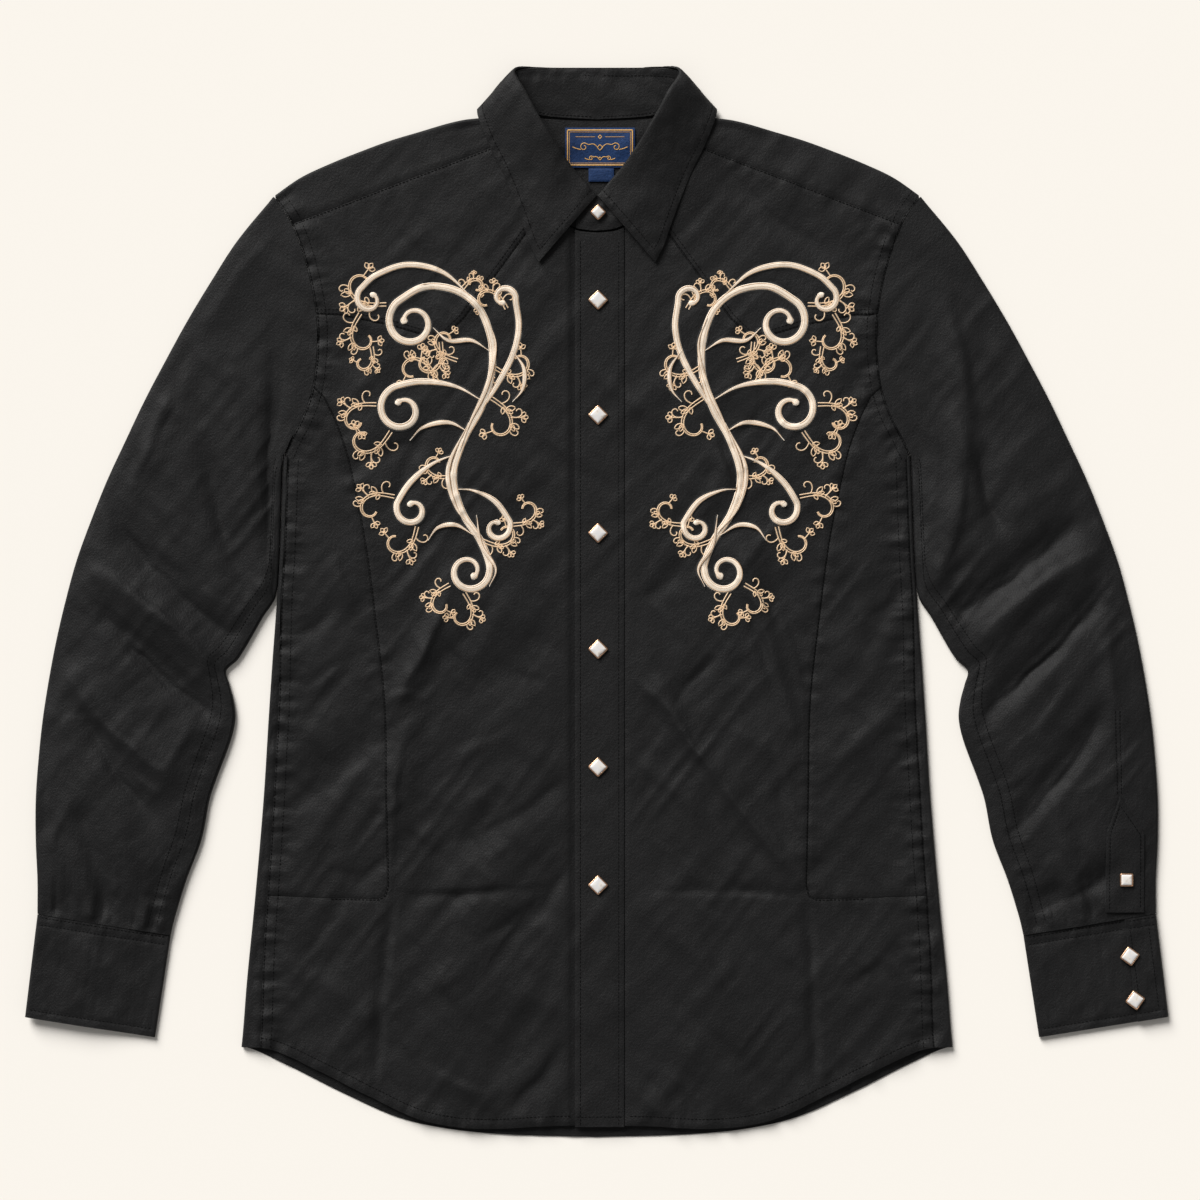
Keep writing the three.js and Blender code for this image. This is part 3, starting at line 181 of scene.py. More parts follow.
# Finer creases. A crease is steep on one side, and bow bends it sideways.
BODY_CREASES = [
    # x1, y1, x2, y2, width, height, bow
    [-248, -30, -206, -8, 5, -0.9, 3], [-246, -88, -180, -44, 6, 1.0, -4], [-246, -163, -166, -92, 6, -1.3, 5],
    [-232, -286, -188, -226, 5, 1.1, 3], [-190, -222, -160, -192, 4, -0.8, 2], [-194, 104, -142, 124, 5, -0.9, -3],
    [-132, 146, -160, 82, 4, 1.1, 4], [-213, 183, -177, 214, 5, -0.7, 3], [-111, 18, -154, -74, 4, 1.7, -4],
    [-163, -72, -130, -76, 4, 1.2, -2], [-145, -92, -159, -180, 5, 1.4, 5], [-158, -172, -163, -224, 4, 1.2, 1],
    [-114, -190, -20, -135, 6, -1.1, 6], [-55, -250, -19, -200, 5, -0.9, 3], [-70, -306, -19, -243, 6, 1.0, -4],
    [-67, -396, -19, -332, 6, -1.0, 3], [-158, -228, -38, -223, 4, -1.1, 1], [-138, -360, -84, -384, 5, 1.0, 3],
    [-82, -44, -40, -64, 5, -0.8, 3], [-158, -230, -172, -378, 4, -1.5, 2], [-226, -204, -176, -214, 5, -0.6, 2],
    [-120, -120, -60, -96, 7, 0.7, 4], [-96, -262, -44, -228, 7, -0.7, 5], [-206, 40, -186, -8, 6, 0.8, 3],
    [-216, 140, -204, 96, 5, -0.8, -2], [-100, 100, -62, 72, 6, 0.6, -3], [-128, -20, -86, -62, 6, -0.7, 4],
    [98, 340, 174, 277, 5, -1.1, 4], [90, 138, 117, 72, 4, 1.1, 3], [152, 134, 184, 86, 5, -1.0, -3],
    [112, 38, 147, -30, 4, 1.6, 3], [116, 30, 152, -98, 4, -1.4, 5], [137, 6, 165, -100, 4, 1.3, -3],
    [25, -50, 58, -85, 4, 1.3, 2], [56, -82, 160, -218, 4, 1.7, 4], [93, -44, 55, -85, 4, -1.2, 2],
    [22, 2, 64, 22, 5, -0.8, 3], [136, -108, 161, -194, 5, -1.1, 4], [164, -224, 171, -387, 4, -1.5, -2],
    [164, -230, 40, -226, 4, -0.8, 2], [70, -230, 118, -340, 7, 0.8, 6], [206, -22, 244, 22, 5, -0.9, 3],
    [184, -124, 246, -66, 6, 1.0, 4], [190, -304, 240, -256, 6, -1.0, 4], [200, 150, 214, 100, 5, 0.7, 3],
    [60, 60, 92, 20, 6, -0.6, 3], [80, -140, 112, -196, 6, -0.8, 4], [186, 36, 204, -16, 6, -0.7, -3],
    [120, 300, 168, 262, 7, 0.6, 4], [-170, 302, -118, 262, 7, -0.7, 4], [-206, 284, -166, 246, 6, 0.7, 3],
]
SLEEVE_RIGHT_CREASES = [
    # x1, y1, x2, y2, width, height, bow
    [-244, 216, -254, 34, 5, -1.2, 3], [-314, 190, -362, 86, 4, 1.5, 5], [-304, 110, -276, 12, 5, -1.2, 4],
    [-380, 70, -286, -28, 5, -1.3, 6], [-394, 28, -296, -54, 5, 1.8, -6], [-386, -8, -300, -86, 4, -1.3, 6],
    [-416, -90, -386, -86, 4, 0.9, 2], [-418, -50, -334, -136, 4, 1.6, 6], [-396, -90, -350, -162, 4, -1.2, 5],
    [-338, -132, -320, -96, 3, 1.1, 2], [-428, -106, -432, -196, 4, -0.9, 2], [-408, -150, -424, -196, 4, 1.0, 3],
    [-328, -184, -308, -190, 4, -0.8, 1], [-300, 240, -330, 150, 7, -0.8, 6], [-280, 150, -268, 60, 6, 0.8, 4],
    [-350, 10, -310, -20, 6, 0.8, 4], [-372, -120, -340, -150, 5, 0.9, 3], [-362, 120, -330, 40, 8, -0.7, 6],
]
SLEEVE_LEFT_CREASES = [
    # x1, y1, x2, y2, width, height, bow
    [271, 246, 290, 120, 5, 1.3, -5], [290, 126, 264, 14, 5, 1.1, -5], [294, 142, 314, 58, 4, -1.3, 4],
    [280, -10, 374, 64, 5, -1.4, 6], [299, -30, 394, 42, 5, 1.4, -7], [299, -90, 403, 18, 4, -1.5, 6],
    [316, -186, 391, -92, 4, -1.2, 6], [399, -22, 409, -90, 4, 1.2, 3], [338, -240, 398, -212, 4, -1.1, 4],
    [300, 244, 336, 140, 7, -0.8, 6], [330, 100, 364, 20, 6, 0.8, 5], [318, -120, 372, -60, 5, 0.9, 4],
    [310, -150, 344, -130, 5, -0.8, 3], [372, -150, 424, -110, 6, 0.8, 4], [270, 20, 300, 40, 5, -0.8, 3],
]

STAND_ROWS = [
    # step, neckX, neckY, neckZ, topX, topY, topZ, turn, handle
    [-1.0, -16.5, 291.6, 7.0, -16.8, 313.8, 8.2, 0, 0.0],
    [-0.5, -8.0, 290.2, 7.0, -8.2, 314.0, 8.2, 30, 0.0],
    [0.0, 0.6, 289.8, 7.0, 0.6, 316.4, 9.6, 90, 2.0],
    [0.5, 15.2, 291.8, 7.0, 11.0, 328.0, 10.4, 90, 2.4],
    [1.0, 30.1, 300.2, 6.9, 22.0, 341.0, 12.0, 90, 3.0],
    [2.0, 54.4, 326.2, 6.6, 34.5, 359.5, 14.6, 90, 3.4],
    [3.0, 66.6, 348.2, 6.4, 45.5, 377.0, 16.0, 90, 3.6],
    [4.0, 70.6, 364.0, 6.0, 56.0, 397.0, 15.4, 90, 3.6],
    [5.0, 71.2, 378.0, 5.2, 62.8, 408.0, 12.8, 75, 3.4],
    [5.5, 70.6, 382.4, 4.8, 64.4, 412.4, 11.2, 52, 3.0],
    [6.0, 68.0, 384.2, 4.2, 62.4, 415.4, 9.4, 24, 3.0],
    [6.5, 63.0, 384.4, 4.0, 58.0, 416.4, 7.6, -10, 2.6],
    [7.0, 56.0, 383.0, 3.8, 51.0, 416.5, 5.9, -45, 2.4],
    [8.0, 36.0, 379.0, 3.6, 31.0, 416.4, 3.9, -85, 2.0],
    [9.0, 0.0, 376.8, 3.6, 0.0, 416.4, 3.5, -90, 2.0],
]
LEAF_EDGE = [
    # step, edgeX, edgeY, edgeZ, lift
    [0.0, 45.4, 265.0, 8.0, 4.0],
    [0.5, 52.0, 278.0, 8.0, 3.8],
    [1.0, 57.5, 294.0, 8.0, 3.4],
    [2.0, 66.5, 318.0, 8.0, 3.0],
    [3.0, 74.5, 337.0, 8.0, 3.0],
    [4.0, 83.0, 354.0, 8.0, 3.0],
    [5.0, 89.6, 370.0, 8.2, 2.8],
    [5.5, 92.8, 379.0, 7.0, 2.6],
    [6.0, 93.0, 384.4, 3.4, 2.0],
    [6.5, 88.6, 380.0, 1.0, 0.6],
    [7.0, 82.0, 373.0, 0.8, 0.0],
    [8.0, 48.0, 367.4, 0.8, 0.0],
    [9.0, 0.0, 366.6, 0.8, 0.0],
]
LAST_COLLAR_STEP = 9
FOLD_GAP = 0.6
CORNER_GAP = 0.9
CORNER_STEP = 6.1
STAND_CLOTH = 1.4
LEAF_CLOTH = 1.5
STAND_END_DROP = 2.1

PLACKET_LEFT_X = -17.2
PLACKET_SEAM_X = 21.1
PLACKET_HEM_Y = -409.5
PLACKET_TOP_Y = 288.0
PLACKET_RISE = 0.6
UNDERLAP_X = 18.0
UNDERLAP_DROP = 1.45
SNAP_X = 0.8
FRONT_SNAP_Y = [235.6, 145.9, 53.8, -36.7, -128.7, -220.7]
STAND_SNAP = {"x": 0.8, "y": 303.6, "z": 9.15, "side": 9.4, "tilt": 0.05}
CUFF_SNAPS = [(415.4, -276.1), (419.6, -310.4)]
SLEEVE_SNAP = (412.5, -216.5)
SNAP_SIDE = 11.7
SLEEVE_SNAP_SIDE = 10.5
SNAP_LIFT = 2.7
BAND_LIFT = 1.7
BAND = {"x": 411.6, "half": 15, "low": -242, "shoulder": -180.6, "tip_x": 407.4, "tip_y": -151.3}
BAND_CLEAR = 1.0
LAID = 0.35
CUFF_CLOTH = 1.6
CUFF_LOW = 0.8
CUFF_HIGH = 3.1
CUFF_LAP = 5.0
CUFF_WIDTH = 104
OVERLAP_SHARE = 0.24
LABEL = {"x": 2.3, "y": 354.8, "width": 54.6, "height": 31.0}
SIZE_TAB = {"x": 3.3, "y": 333.6, "width": 19.8, "height": 10.4}


# Arithmetic
def mix(a, b, share):
    return a + (b - a) * share


def smooth(low, high, value):
    t = np.clip((np.asarray(value, dtype=float) - low) / (high - low), 0, 1)
    return t * t * (3 - 2 * t)


def follow(table, place, column=1):
    """Smooth value of a table's column at a place in its first column."""
    rows = np.asarray(table, dtype=float)
    keys, values = rows[:, 0], rows[:, column]
    last = len(keys) - 1
    at = np.clip(np.asarray(place, dtype=float), keys[0], keys[last])
    k = np.clip(np.searchsorted(keys[1:], at), 0, last - 1)
    before, after = np.maximum(k - 1, 0), np.minimum(k + 2, last)
    start = (values[k + 1] - values[before]) / (keys[k + 1] - keys[before])
    end = (values[after] - values[k]) / (keys[after] - keys[k])
    span = keys[k + 1] - keys[k]
    t = (at - keys[k]) / span
    rise = (values[k + 1] - values[k]) * t * t * (3 - 2 * t)
    return values[k] + rise + span * (start * t * (1 - t) ** 2 - end * t * t * (1 - t))


def lattice(i, j, seed):
    """A fixed pseudo-random number from -1 to 1 for each whole place."""
    h = (i.astype(np.int64) * 374761393 + j.astype(np.int64) * 668265263 + seed * 974711) & 0xFFFFFFFF
    h = ((h ^ (h >> 13)) * 1274126177) & 0xFFFFFFFF
    return ((h ^ (h >> 16)) & 0xFFFF) / 32767.5 - 1


def noise(x, y, seed=SEED):
    i, j = np.floor(x), np.floor(y)
    u, v = x - i, y - j
    u, v = u * u * u * (u * (6 * u - 15) + 10), v * v * v * (v * (6 * v - 15) + 10)
    low = mix(lattice(i, j, seed), lattice(i + 1, j, seed), u)
    high = mix(lattice(i, j + 1, seed), lattice(i + 1, j + 1, seed), u)
    return mix(low, high, v)


def streaks(x, y, angle, across, along, seed):
    """Noise drawn out along an angle in degrees."""
    c, s = math.cos(math.radians(angle)), math.sin(math.radians(angle))
    return noise((x * c + y * s) / along, (y * c - x * s) / across, seed)


def line_place(x, y, points):
    """Distance from a line of points, and how far along it the nearest place is."""
    nearest = np.full(np.shape(x), np.inf)
    arc = np.zeros(np.shape(x))
    gone = 0.0
    for (ax, ay), (bx, by) in zip(points[:-1], points[1:]):
        length = math.hypot(bx - ax, by - ay)
        if length == 0:
            continue
        t = np.clip(((x - ax) * (bx - ax) + (y - ay) * (by - ay)) / length**2, 0, 1)
        distance = np.hypot(x - mix(ax, bx, t), y - mix(ay, by, t))
        closer = distance < nearest
        nearest = np.where(closer, distance, nearest)
        arc = np.where(closer, gone + t * length, arc)
        gone += length
    return nearest, arc


def fold_height(folds, x, y):
    total = np.zeros(np.shape(x))
    for x1, y1, x2, y2, width, height in folds:
        length = math.hypot(x2 - x1, y2 - y1)
        along = ((x - x1) * (x2 - x1) + (y - y1) * (y2 - y1)) / length
        across = ((x - x1) * (y2 - y1) - (y - y1) * (x2 - x1)) / length
        past = np.maximum(0, np.maximum(-along, along - length))
        total += height * np.exp(-((across / width) ** 2) - (past / (width * 1.6)) ** 2)
    return total


RIDGE_DEPTH = 1.5
TROUGH_DEPTH = 1.95


def crease_height(creases, x, y):
    total = np.zeros(np.shape(x))
    for k, (x1, y1, x2, y2, width, height, bow) in enumerate(creases):
        length = math.hypot(x2 - x1, y2 - y1)
        along = ((x - x1) * (x2 - x1) + (y - y1) * (y2 - y1)) / length
        across = ((x - x1) * (y2 - y1) - (y - y1) * (x2 - x1)) / length
        t = np.clip(along / length, 0, 1)
        bent = across - bow * np.sin(np.pi * t) - 1.4 * noise(along / 17, t * 0 + k, SEED + 5)
        wide = np.where(bent > 0, width * 1.5, width * 0.6)
        fade = np.sin(np.pi * t) ** 0.7 * (0.8 + 0.4 * noise(along / 23, t * 0 + k, SEED + 6))
        depth = TROUGH_DEPTH if height < 0 else RIDGE_DEPTH
        total += depth * height * fade * np.exp(-((bent / wide) ** 2))
    return total


def worn(x, y, seed):
    """Slight unevenness of washed cotton, in several directions."""
    patches = 0.5 + 0.5 * noise(x / 70, y / 70, seed)
    other = 0.5 + 0.5 * noise(x / 55, y / 55, seed + 1)
    soft = 0.34 * noise(x / 34, y / 34, seed + 2) + 0.12 * noise(x / 13, y / 13, seed + 3)
    drag = 0.42 * patches * (1 - 2 * np.abs(streaks(x, y, 52, 11, 62, seed + 4)))
    drag += 0.42 * other * (1 - 2 * np.abs(streaks(x, y, 121, 10, 55, seed + 5)))
    fine = 0.17 * patches * streaks(x, y, 35, 5.5, 22, seed + 6) + 0.17 * other * streaks(x, y, 140, 5.5, 20, seed + 7)
    return 1.45 * (soft + drag + fine)


# Lines on the front that are sewn, as points of one half
def table_line(table, low, high, spacing=2.5, swap=False):
    count = max(2, int(abs(high - low) / spacing) + 1)
    places = np.linspace(low, high, count)
    values = follow(table, places)
    return list(zip(places, values)) if swap else list(zip(values, places))


def dense(points, spacing=CELL):
    out = []
    for (ax, ay), (bx, by) in zip(points[:-1], points[1:]):
        count = max(1, int(round(math.hypot(bx - ax, by - ay) / spacing)))
        out += [(mix(ax, bx, k / count), mix(ay, by, k / count)) for k in range(count)]
    return out + [tuple(points[-1])]


UNDERARM_Y = ARMHOLE[0][0]
ARM_TIP = (ARMHOLE[-1][1], ARMHOLE[-1][0])
armhole_line = table_line(ARMHOLE, UNDERARM_Y, ARM_TIP[1])
side_line = table_line(SIDE_SEAM, HEM_TURN_Y, UNDERARM_Y)
princess_line = [*PRINCESS_CORNER, *table_line(PRINCESS_SEAM, -221, 160), tuple(PRINCESS_TOP)]
yoke_line = dense([YOKE_ARM_END, *FRONT_YOKE_SEAM, YOKE_NECK_END])
shoulder_line = table_line(SHOULDER_SEAM, 66, 240, swap=True)
hem_line = table_line(FRONT_HEM, 0, 264, swap=True)
neck_line = table_line(FRONT_NECK, 0, 71, swap=True, spacing=1.5)

def toward_middle(table):
    return lambda x, y: x < follow(table, y)


def above(table):
    return lambda x, y: y > follow(table, x)


def everywhere(x, y):
    return np.ones(np.shape(x), dtype=bool)


YOKE_BY_X = [[x, y] for x, y in [YOKE_ARM_END, *FRONT_YOKE_SEAM, YOKE_NECK_END][::-1]]
SEWN = [
    # line, side with the allowance, its width, pucker, spacing, seed
    (armhole_line, everywhere, 8.6, 1.2, 7.0, 11),
    (side_line, toward_middle(SIDE_SEAM), 9.2, 1.3, 6.5, 12),
    (princess_line, toward_middle(PRINCESS_SEAM), 4.6, 0.5, 7.5, 13),
    (yoke_line, above(YOKE_BY_X), 4.6, 0.26, 8.0, 14),
    (shoulder_line, above(SHOULDER_SEAM), 6.5, 0.42, 7.5, 15),
    (hem_line, above(FRONT_HEM), 7.8, 0.9, 8.0, 16),
]
ALLOWANCE_RISE = 0.28


def sewn_height(x, y):
    """Doubled cloth beside each seam, its stitch dents, and puckers across it."""
    total = np.zeros(np.shape(x))
    for line, allowance_side, width, pucker, spacing, seed in SEWN:
        distance, arc = line_place(np.abs(x), y, line)
        hand = np.where(x > 0, 31, 0)
        doubled = allowance_side(np.abs(x), y) & (distance < 40)
        step = smooth(0.0, 1.0, distance) * (1 - smooth(width, width + 1.6, distance))
        total += np.where(doubled, ALLOWANCE_RISE * step, 0)
        wave = noise(arc / spacing, hand + distance / 26, seed)
        wave = wave + 0.7 * noise(arc / (spacing * 0.46), hand + distance / 11, seed + 1)
        reach = np.where(doubled, width + 3.0, 7.0)
        total += pucker * wave * np.exp(-((np.maximum(0, distance - width * 0.5) / reach) ** 2))
        for stitch in (1.8, width - 0.8):
            total -= np.where(doubled, 0.24 * np.exp(-(((distance - stitch) / 1.0) ** 2)), 0)
    return total


def body_edge_distance(x, y):
    side = follow(BODY_EDGE, y) - np.abs(x) + np.maximum(0, y - UNDERARM_Y)
    return np.minimum(side, follow(SHOULDER_FOLD, np.abs(x)) - y)


def body_top(x, y):
    """Upper face of the front as in the solids."""
    inside = smooth(2, 42, body_edge_distance(x, y))
    beside = smooth(24, 56, np.abs(x - 2))
    neck_distance, _ = line_place(np.abs(x), y, FRONT_NECK)
    free = EDGE_HEIGHT + 0.8 * inside + fold_height(BODY_FOLDS, x, y) * inside * beside
    return np.maximum(free, LOWEST_FRONT + 0.15 * (free - LOWEST_FRONT)) + 1.6 * np.exp(-((neck_distance / 24) ** 2))


def front_relief(x, y):
    """Upper face of the front with its finer creases, seams and wear."""
    inside = smooth(1, 16, body_edge_distance(x, y))
    beside = smooth(18, 40, np.abs(x - 2))
    fine = crease_height(BODY_CREASES, x, y) + worn(x, y, SEED)
    near_edge = smooth(0, 8, body_edge_distance(x, y))
    sewn = sewn_height(x, y) * (0.2 + 0.8 * near_edge) * (0.3 + 0.7 * beside)
    detail = fine * inside * (0.15 + 0.85 * beside) + sewn
    top = body_top(x, y) + detail
    low = LOWEST_FRONT - 0.2
    return np.where(top < low + 0.8, low + 0.8 * np.exp((np.minimum(top, low + 0.8) - low - 0.8) / 0.8), top)


RELIEF_STEP = 1.3
relief_x = np.arange(-292, 293, RELIEF_STEP)
relief_y = np.arange(-432, 392, RELIEF_STEP)
RELIEF = front_relief(*np.meshgrid(relief_x, relief_y))


def front_top(x, y):
    """The front's upper face, read from the grid above."""
    u = np.clip((np.asarray(x, dtype=float) - relief_x[0]) / RELIEF_STEP, 0, len(relief_x) - 1.001)
    v = np.clip((np.asarray(y, dtype=float) - relief_y[0]) / RELIEF_STEP, 0, len(relief_y) - 1.001)
    u, v = np.broadcast_arrays(u, v)
    i, j = v.astype(int), u.astype(int)
    low = mix(RELIEF[i, j], RELIEF[i, j + 1], u - j)
    high = mix(RELIEF[i + 1, j], RELIEF[i + 1, j + 1], u - j)
    return mix(low, high, v - i)


# Meshes
def place(obj, replaced=(), slot=None):
    bpy.context.scene.collection.objects.link(obj)
    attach(obj, "root")
    if replaced:
        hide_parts(*replaced)
    return obj


def make(name, points, faces, material, replaced=(), slot=None, sharp=55):
    """One mesh object from points in millimetres and arrays of triangles or quads."""
    points = np.asarray(points, dtype=float)
    groups = [np.asarray(group, dtype=np.int64) for group in faces if len(group)]
    used = np.unique(np.concatenate([group.ravel() for group in groups]))
    renamed = np.zeros(len(points), dtype=np.int64)
    renamed[used] = np.arange(len(used))
    points, groups = points[used], [renamed[group] for group in groups]
    volume = 0.0
    for group in groups:
        a = points[group[:, 0]]
        for k in range(1, group.shape[1] - 1):
            volume += float(np.einsum("ij,ij->i", a, np.cross(points[group[:, k]], points[group[:, k + 1]])).sum())
    if volume < 0:
        groups = [group[:, ::-1] for group in groups]
    counts = np.concatenate([np.full(len(group), group.shape[1]) for group in groups])
    corners = np.concatenate([group.ravel() for group in groups])
    mesh = bpy.data.meshes.new(name)
    mesh.vertices.add(len(points))
    mesh.vertices.foreach_set("co", (points * MM).ravel())
    mesh.loops.add(len(corners))
    mesh.loops.foreach_set("vertex_index", corners)
    mesh.polygons.add(len(counts))
    mesh.polygons.foreach_set("loop_start", np.concatenate([[0], np.cumsum(counts)[:-1]]))
    mesh.polygons.foreach_set("use_smooth", np.ones(len(counts), dtype=bool))
    mesh.update(calc_edges=True)
    mesh.validate()
    mesh.set_sharp_from_angle(angle=math.radians(sharp))
    mesh.materials.append(material)
    return place(bpy.data.objects.new(name, mesh), replaced, slot)


def grid_faces(outer, inner, keep=None, wrap=False):
    """Points and quads of a closed wall between two grids of points."""
    outer, inner = np.asarray(outer), np.asarray(inner)
    rows, columns = outer.shape[:2]
    cells = columns if wrap else columns - 1
    if keep is None:
        keep = np.ones((rows - 1, cells), dtype=bool)
    points = np.concatenate([outer.reshape(-1, 3), inner.reshape(-1, 3)])
    total = rows * columns
    i, j = np.nonzero(keep)
    right = (j + 1) % columns
    a, b, c, d = i * columns + j, i * columns + right, (i + 1) * columns + right, (i + 1) * columns + j
    quads = [np.stack([a, b, c, d], 1), np.stack([d, c, b, a], 1) + total]
    framed = np.zeros((rows + 1, cells + 2), dtype=bool)
    framed[1:-1, 1:-1] = keep
    if wrap:
        framed[1:-1, 0], framed[1:-1, -1] = keep[:, -1], keep[:, 0]
    sides = [(~framed[i, j + 1], b, a), (~framed[i + 2, j + 1], d, c), (~framed[i + 1, j], a, d), (~framed[i + 1, j + 2], c, b)]
    for bare, p, q in sides:
        quads.append(np.stack([p[bare], q[bare], q[bare] + total, p[bare] + total], 1))
    return points, [np.concatenate(quads)]


def unit(v):
    return v / np.maximum(np.linalg.norm(v, axis=-1, keepdims=True), 1e-9)


def about(middle, thickness, wrap=False):
    """Outer and inner faces of a cloth of even thickness about a grid of middle points."""
    middle = np.asarray(middle, dtype=float)

    def bisector(axis, closed):
        if closed:
            before, after = np.roll(middle, 1, axis), np.roll(middle, -1, axis)
        else:
            pad = [(0, 0)] * 3
            pad[axis] = (1, 1)
            padded = np.pad(middle, pad, mode="edge")
            count = middle.shape[axis]
            before, after = np.take(padded, range(count), axis), np.take(padded, range(2, count + 2), axis)
        return unit(after - middle) + unit(middle - before)

    normal = unit(np.cross(bisector(1, wrap), bisector(0, False)))
    half = np.asarray(thickness)[..., None] * 0.5 if np.ndim(thickness) else thickness * 0.5
    return middle + normal * half, middle - normal * half


def inset(points, amount):
    """A closed outline moved inward, for one drawn counterclockwise."""
    p = np.asarray(points, dtype=float)
    along = unit(np.roll(p, -1, 0) - p) + unit(p - np.roll(p, 1, 0))
    along = unit(along)
    return p + amount * np.stack([-along[:, 1], along[:, 0]], 1)


def inside_outline(x, y, outline):
    found = np.zeros(len(x), dtype=bool)
    for (ax, ay), (bx, by) in zip(outline, np.roll(outline, -1, 0)):
        if ay == by:
            continue
        crosses = (ay > y) != (by > y)
        found ^= crosses & (x < (bx - ax) * (y - ay) / (by - ay) + ax)
    return found


def triangulated(outline, cell):
    """Plan points, triangles and rim edges of an even net inside an outline."""
    low, high = outline.min(0), outline.max(0)
    rows = np.arange(low[1], high[1], cell * math.sqrt(3) / 2)
    x, y = [], []
    for k, level in enumerate(rows):
        line = np.arange(low[0] + (k % 2) * cell / 2, high[0], cell)
        x.append(line)
        y.append(np.full(len(line), level))
    x, y = np.concatenate(x), np.concatenate(y)
    chosen = inside_outline(x, y, outline)
    x, y = x[chosen], y[chosen]
    distance, _ = line_place(x, y, [*map(tuple, outline), tuple(outline[0])])
    chosen = distance > cell * 0.55
    plan = np.concatenate([outline, np.stack([x[chosen], y[chosen]], 1)])
    count = len(outline)
    edges = [(k, (k + 1) % count) for k in range(count)]
    made = delaunay_2d_cdt([tuple(p) for p in plan], edges, [], 1, 1e-5, True)
    plan = np.array([tuple(p) for p in made[0]])
    triangles = np.array(made[2], dtype=np.int64)
    centres = plan[triangles].mean(1)
    triangles = triangles[inside_outline(centres[:, 0], centres[:, 1], outline)]
    loop_edges = np.concatenate([triangles[:, [0, 1]], triangles[:, [1, 2]], triangles[:, [2, 0]]])
    keyed = {tuple(e) for e in loop_edges.tolist()}
    rim = np.array([e for e in keyed if (e[1], e[0]) not in keyed], dtype=np.int64)
    return plan, triangles, rim


UNDER_CELL = 7.0
UNDER_REACH = 5.0


def lowest_near(height, x, y):
    """The least height of the shown face close to each place."""
    found = height(x, y)
    for reach in (UNDER_REACH / 2, UNDER_REACH):
        for angle in np.arange(0, 2 * np.pi, np.pi / 4):
            found = np.minimum(found, height(x + reach * math.cos(angle), y + reach * math.sin(angle)))
    return found


def flat_shell(name, outline, height, material, replaced, thickness=SHELL, cell=CELL, edge_drop=0.5):
    """A closed shell over a plan outline, at the height that a function gives."""
    outline = np.asarray(outline, dtype=float)
    area = 0.5 * np.sum(outline[:, 0] * np.roll(outline[:, 1], -1) - outline[:, 1] * np.roll(outline[:, 0], -1))
    if area < 0:
        outline = outline[::-1]
    outline = inset(outline, HALF_SEAM)
    plan, triangles, rim = triangulated(outline, cell)
    under_plan, under_triangles, _ = triangulated(outline, UNDER_CELL)
    ring = [*map(tuple, outline), tuple(outline[0])]
    top = height(plan[:, 0], plan[:, 1])
    on_edge, _ = line_place(plan[:, 0], plan[:, 1], ring)
    top = top - edge_drop * np.exp(-((on_edge / 1.2) ** 2))
    inner_edge, _ = line_place(under_plan[:, 0], under_plan[:, 1], ring)
    under = np.where(
        inner_edge < 0.01,
        height(under_plan[:, 0], under_plan[:, 1]) - edge_drop,
        lowest_near(height, under_plan[:, 0], under_plan[:, 1]),
    )
    total = len(plan)
    points = np.concatenate([np.column_stack([plan, top]), np.column_stack([under_plan, under - thickness])])
    quads = np.stack([rim[:, 1], rim[:, 0], rim[:, 0] + total, rim[:, 1] + total], 1)
    return make(name, points, [triangles, under_triangles[:, ::-1] + total, quads], material, replaced, "cloth")


# Materials
def node_material(name):
    material = bpy.data.materials.new(name)
    material.use_nodes = True
    nodes = material.node_tree.nodes
    return material, nodes, material.node_tree.links, nodes["Principled BSDF"]


def mapped_noise(nodes, links, scale, detail=3.0, roughness=0.55):
    coordinates = nodes.new("ShaderNodeTexCoord")
    texture = nodes.new("ShaderNodeTexNoise")
    texture.inputs["Scale"].default_value = scale
    texture.inputs["Detail"].default_value = detail
    texture.inputs["Roughness"].default_value = roughness
    links.new(coordinates.outputs["Object"], texture.inputs["Vector"])
    return texture


def wave(nodes, links, direction, scale, distortion=0.6):
    coordinates = nodes.new("ShaderNodeTexCoord")
    texture = nodes.new("ShaderNodeTexWave")
    texture.bands_direction = direction
    texture.inputs["Scale"].default_value = scale
    texture.inputs["Distortion"].default_value = distortion
    texture.inputs["Detail"].default_value = 1.0
    texture.inputs["Detail Scale"].default_value = 1.5
    links.new(coordinates.outputs["Object"], texture.inputs["Vector"])
    return texture


def ramp(nodes, links, source, stops):
    made = nodes.new("ShaderNodeValToRGB")
    made.color_ramp.elements[0].position, made.color_ramp.elements[0].color = stops[0][0], (*stops[0][1], 1)
    made.color_ramp.elements[1].position, made.color_ramp.elements[1].color = stops[-1][0], (*stops[-1][1], 1)
    for position, colour in stops[1:-1]:
        made.color_ramp.elements.new(position).color = (*colour, 1)
    links.new(source, made.inputs["Fac"])
    return made


def bump(nodes, links, source, strength, distance, before=None):
    made = nodes.new("ShaderNodeBump")
    made.inputs["Strength"].default_value = strength
    made.inputs["Distance"].default_value = distance
    links.new(source, made.inputs["Height"])
    if before is not None:
        links.new(before.outputs["Normal"], made.inputs["Normal"])
    return made


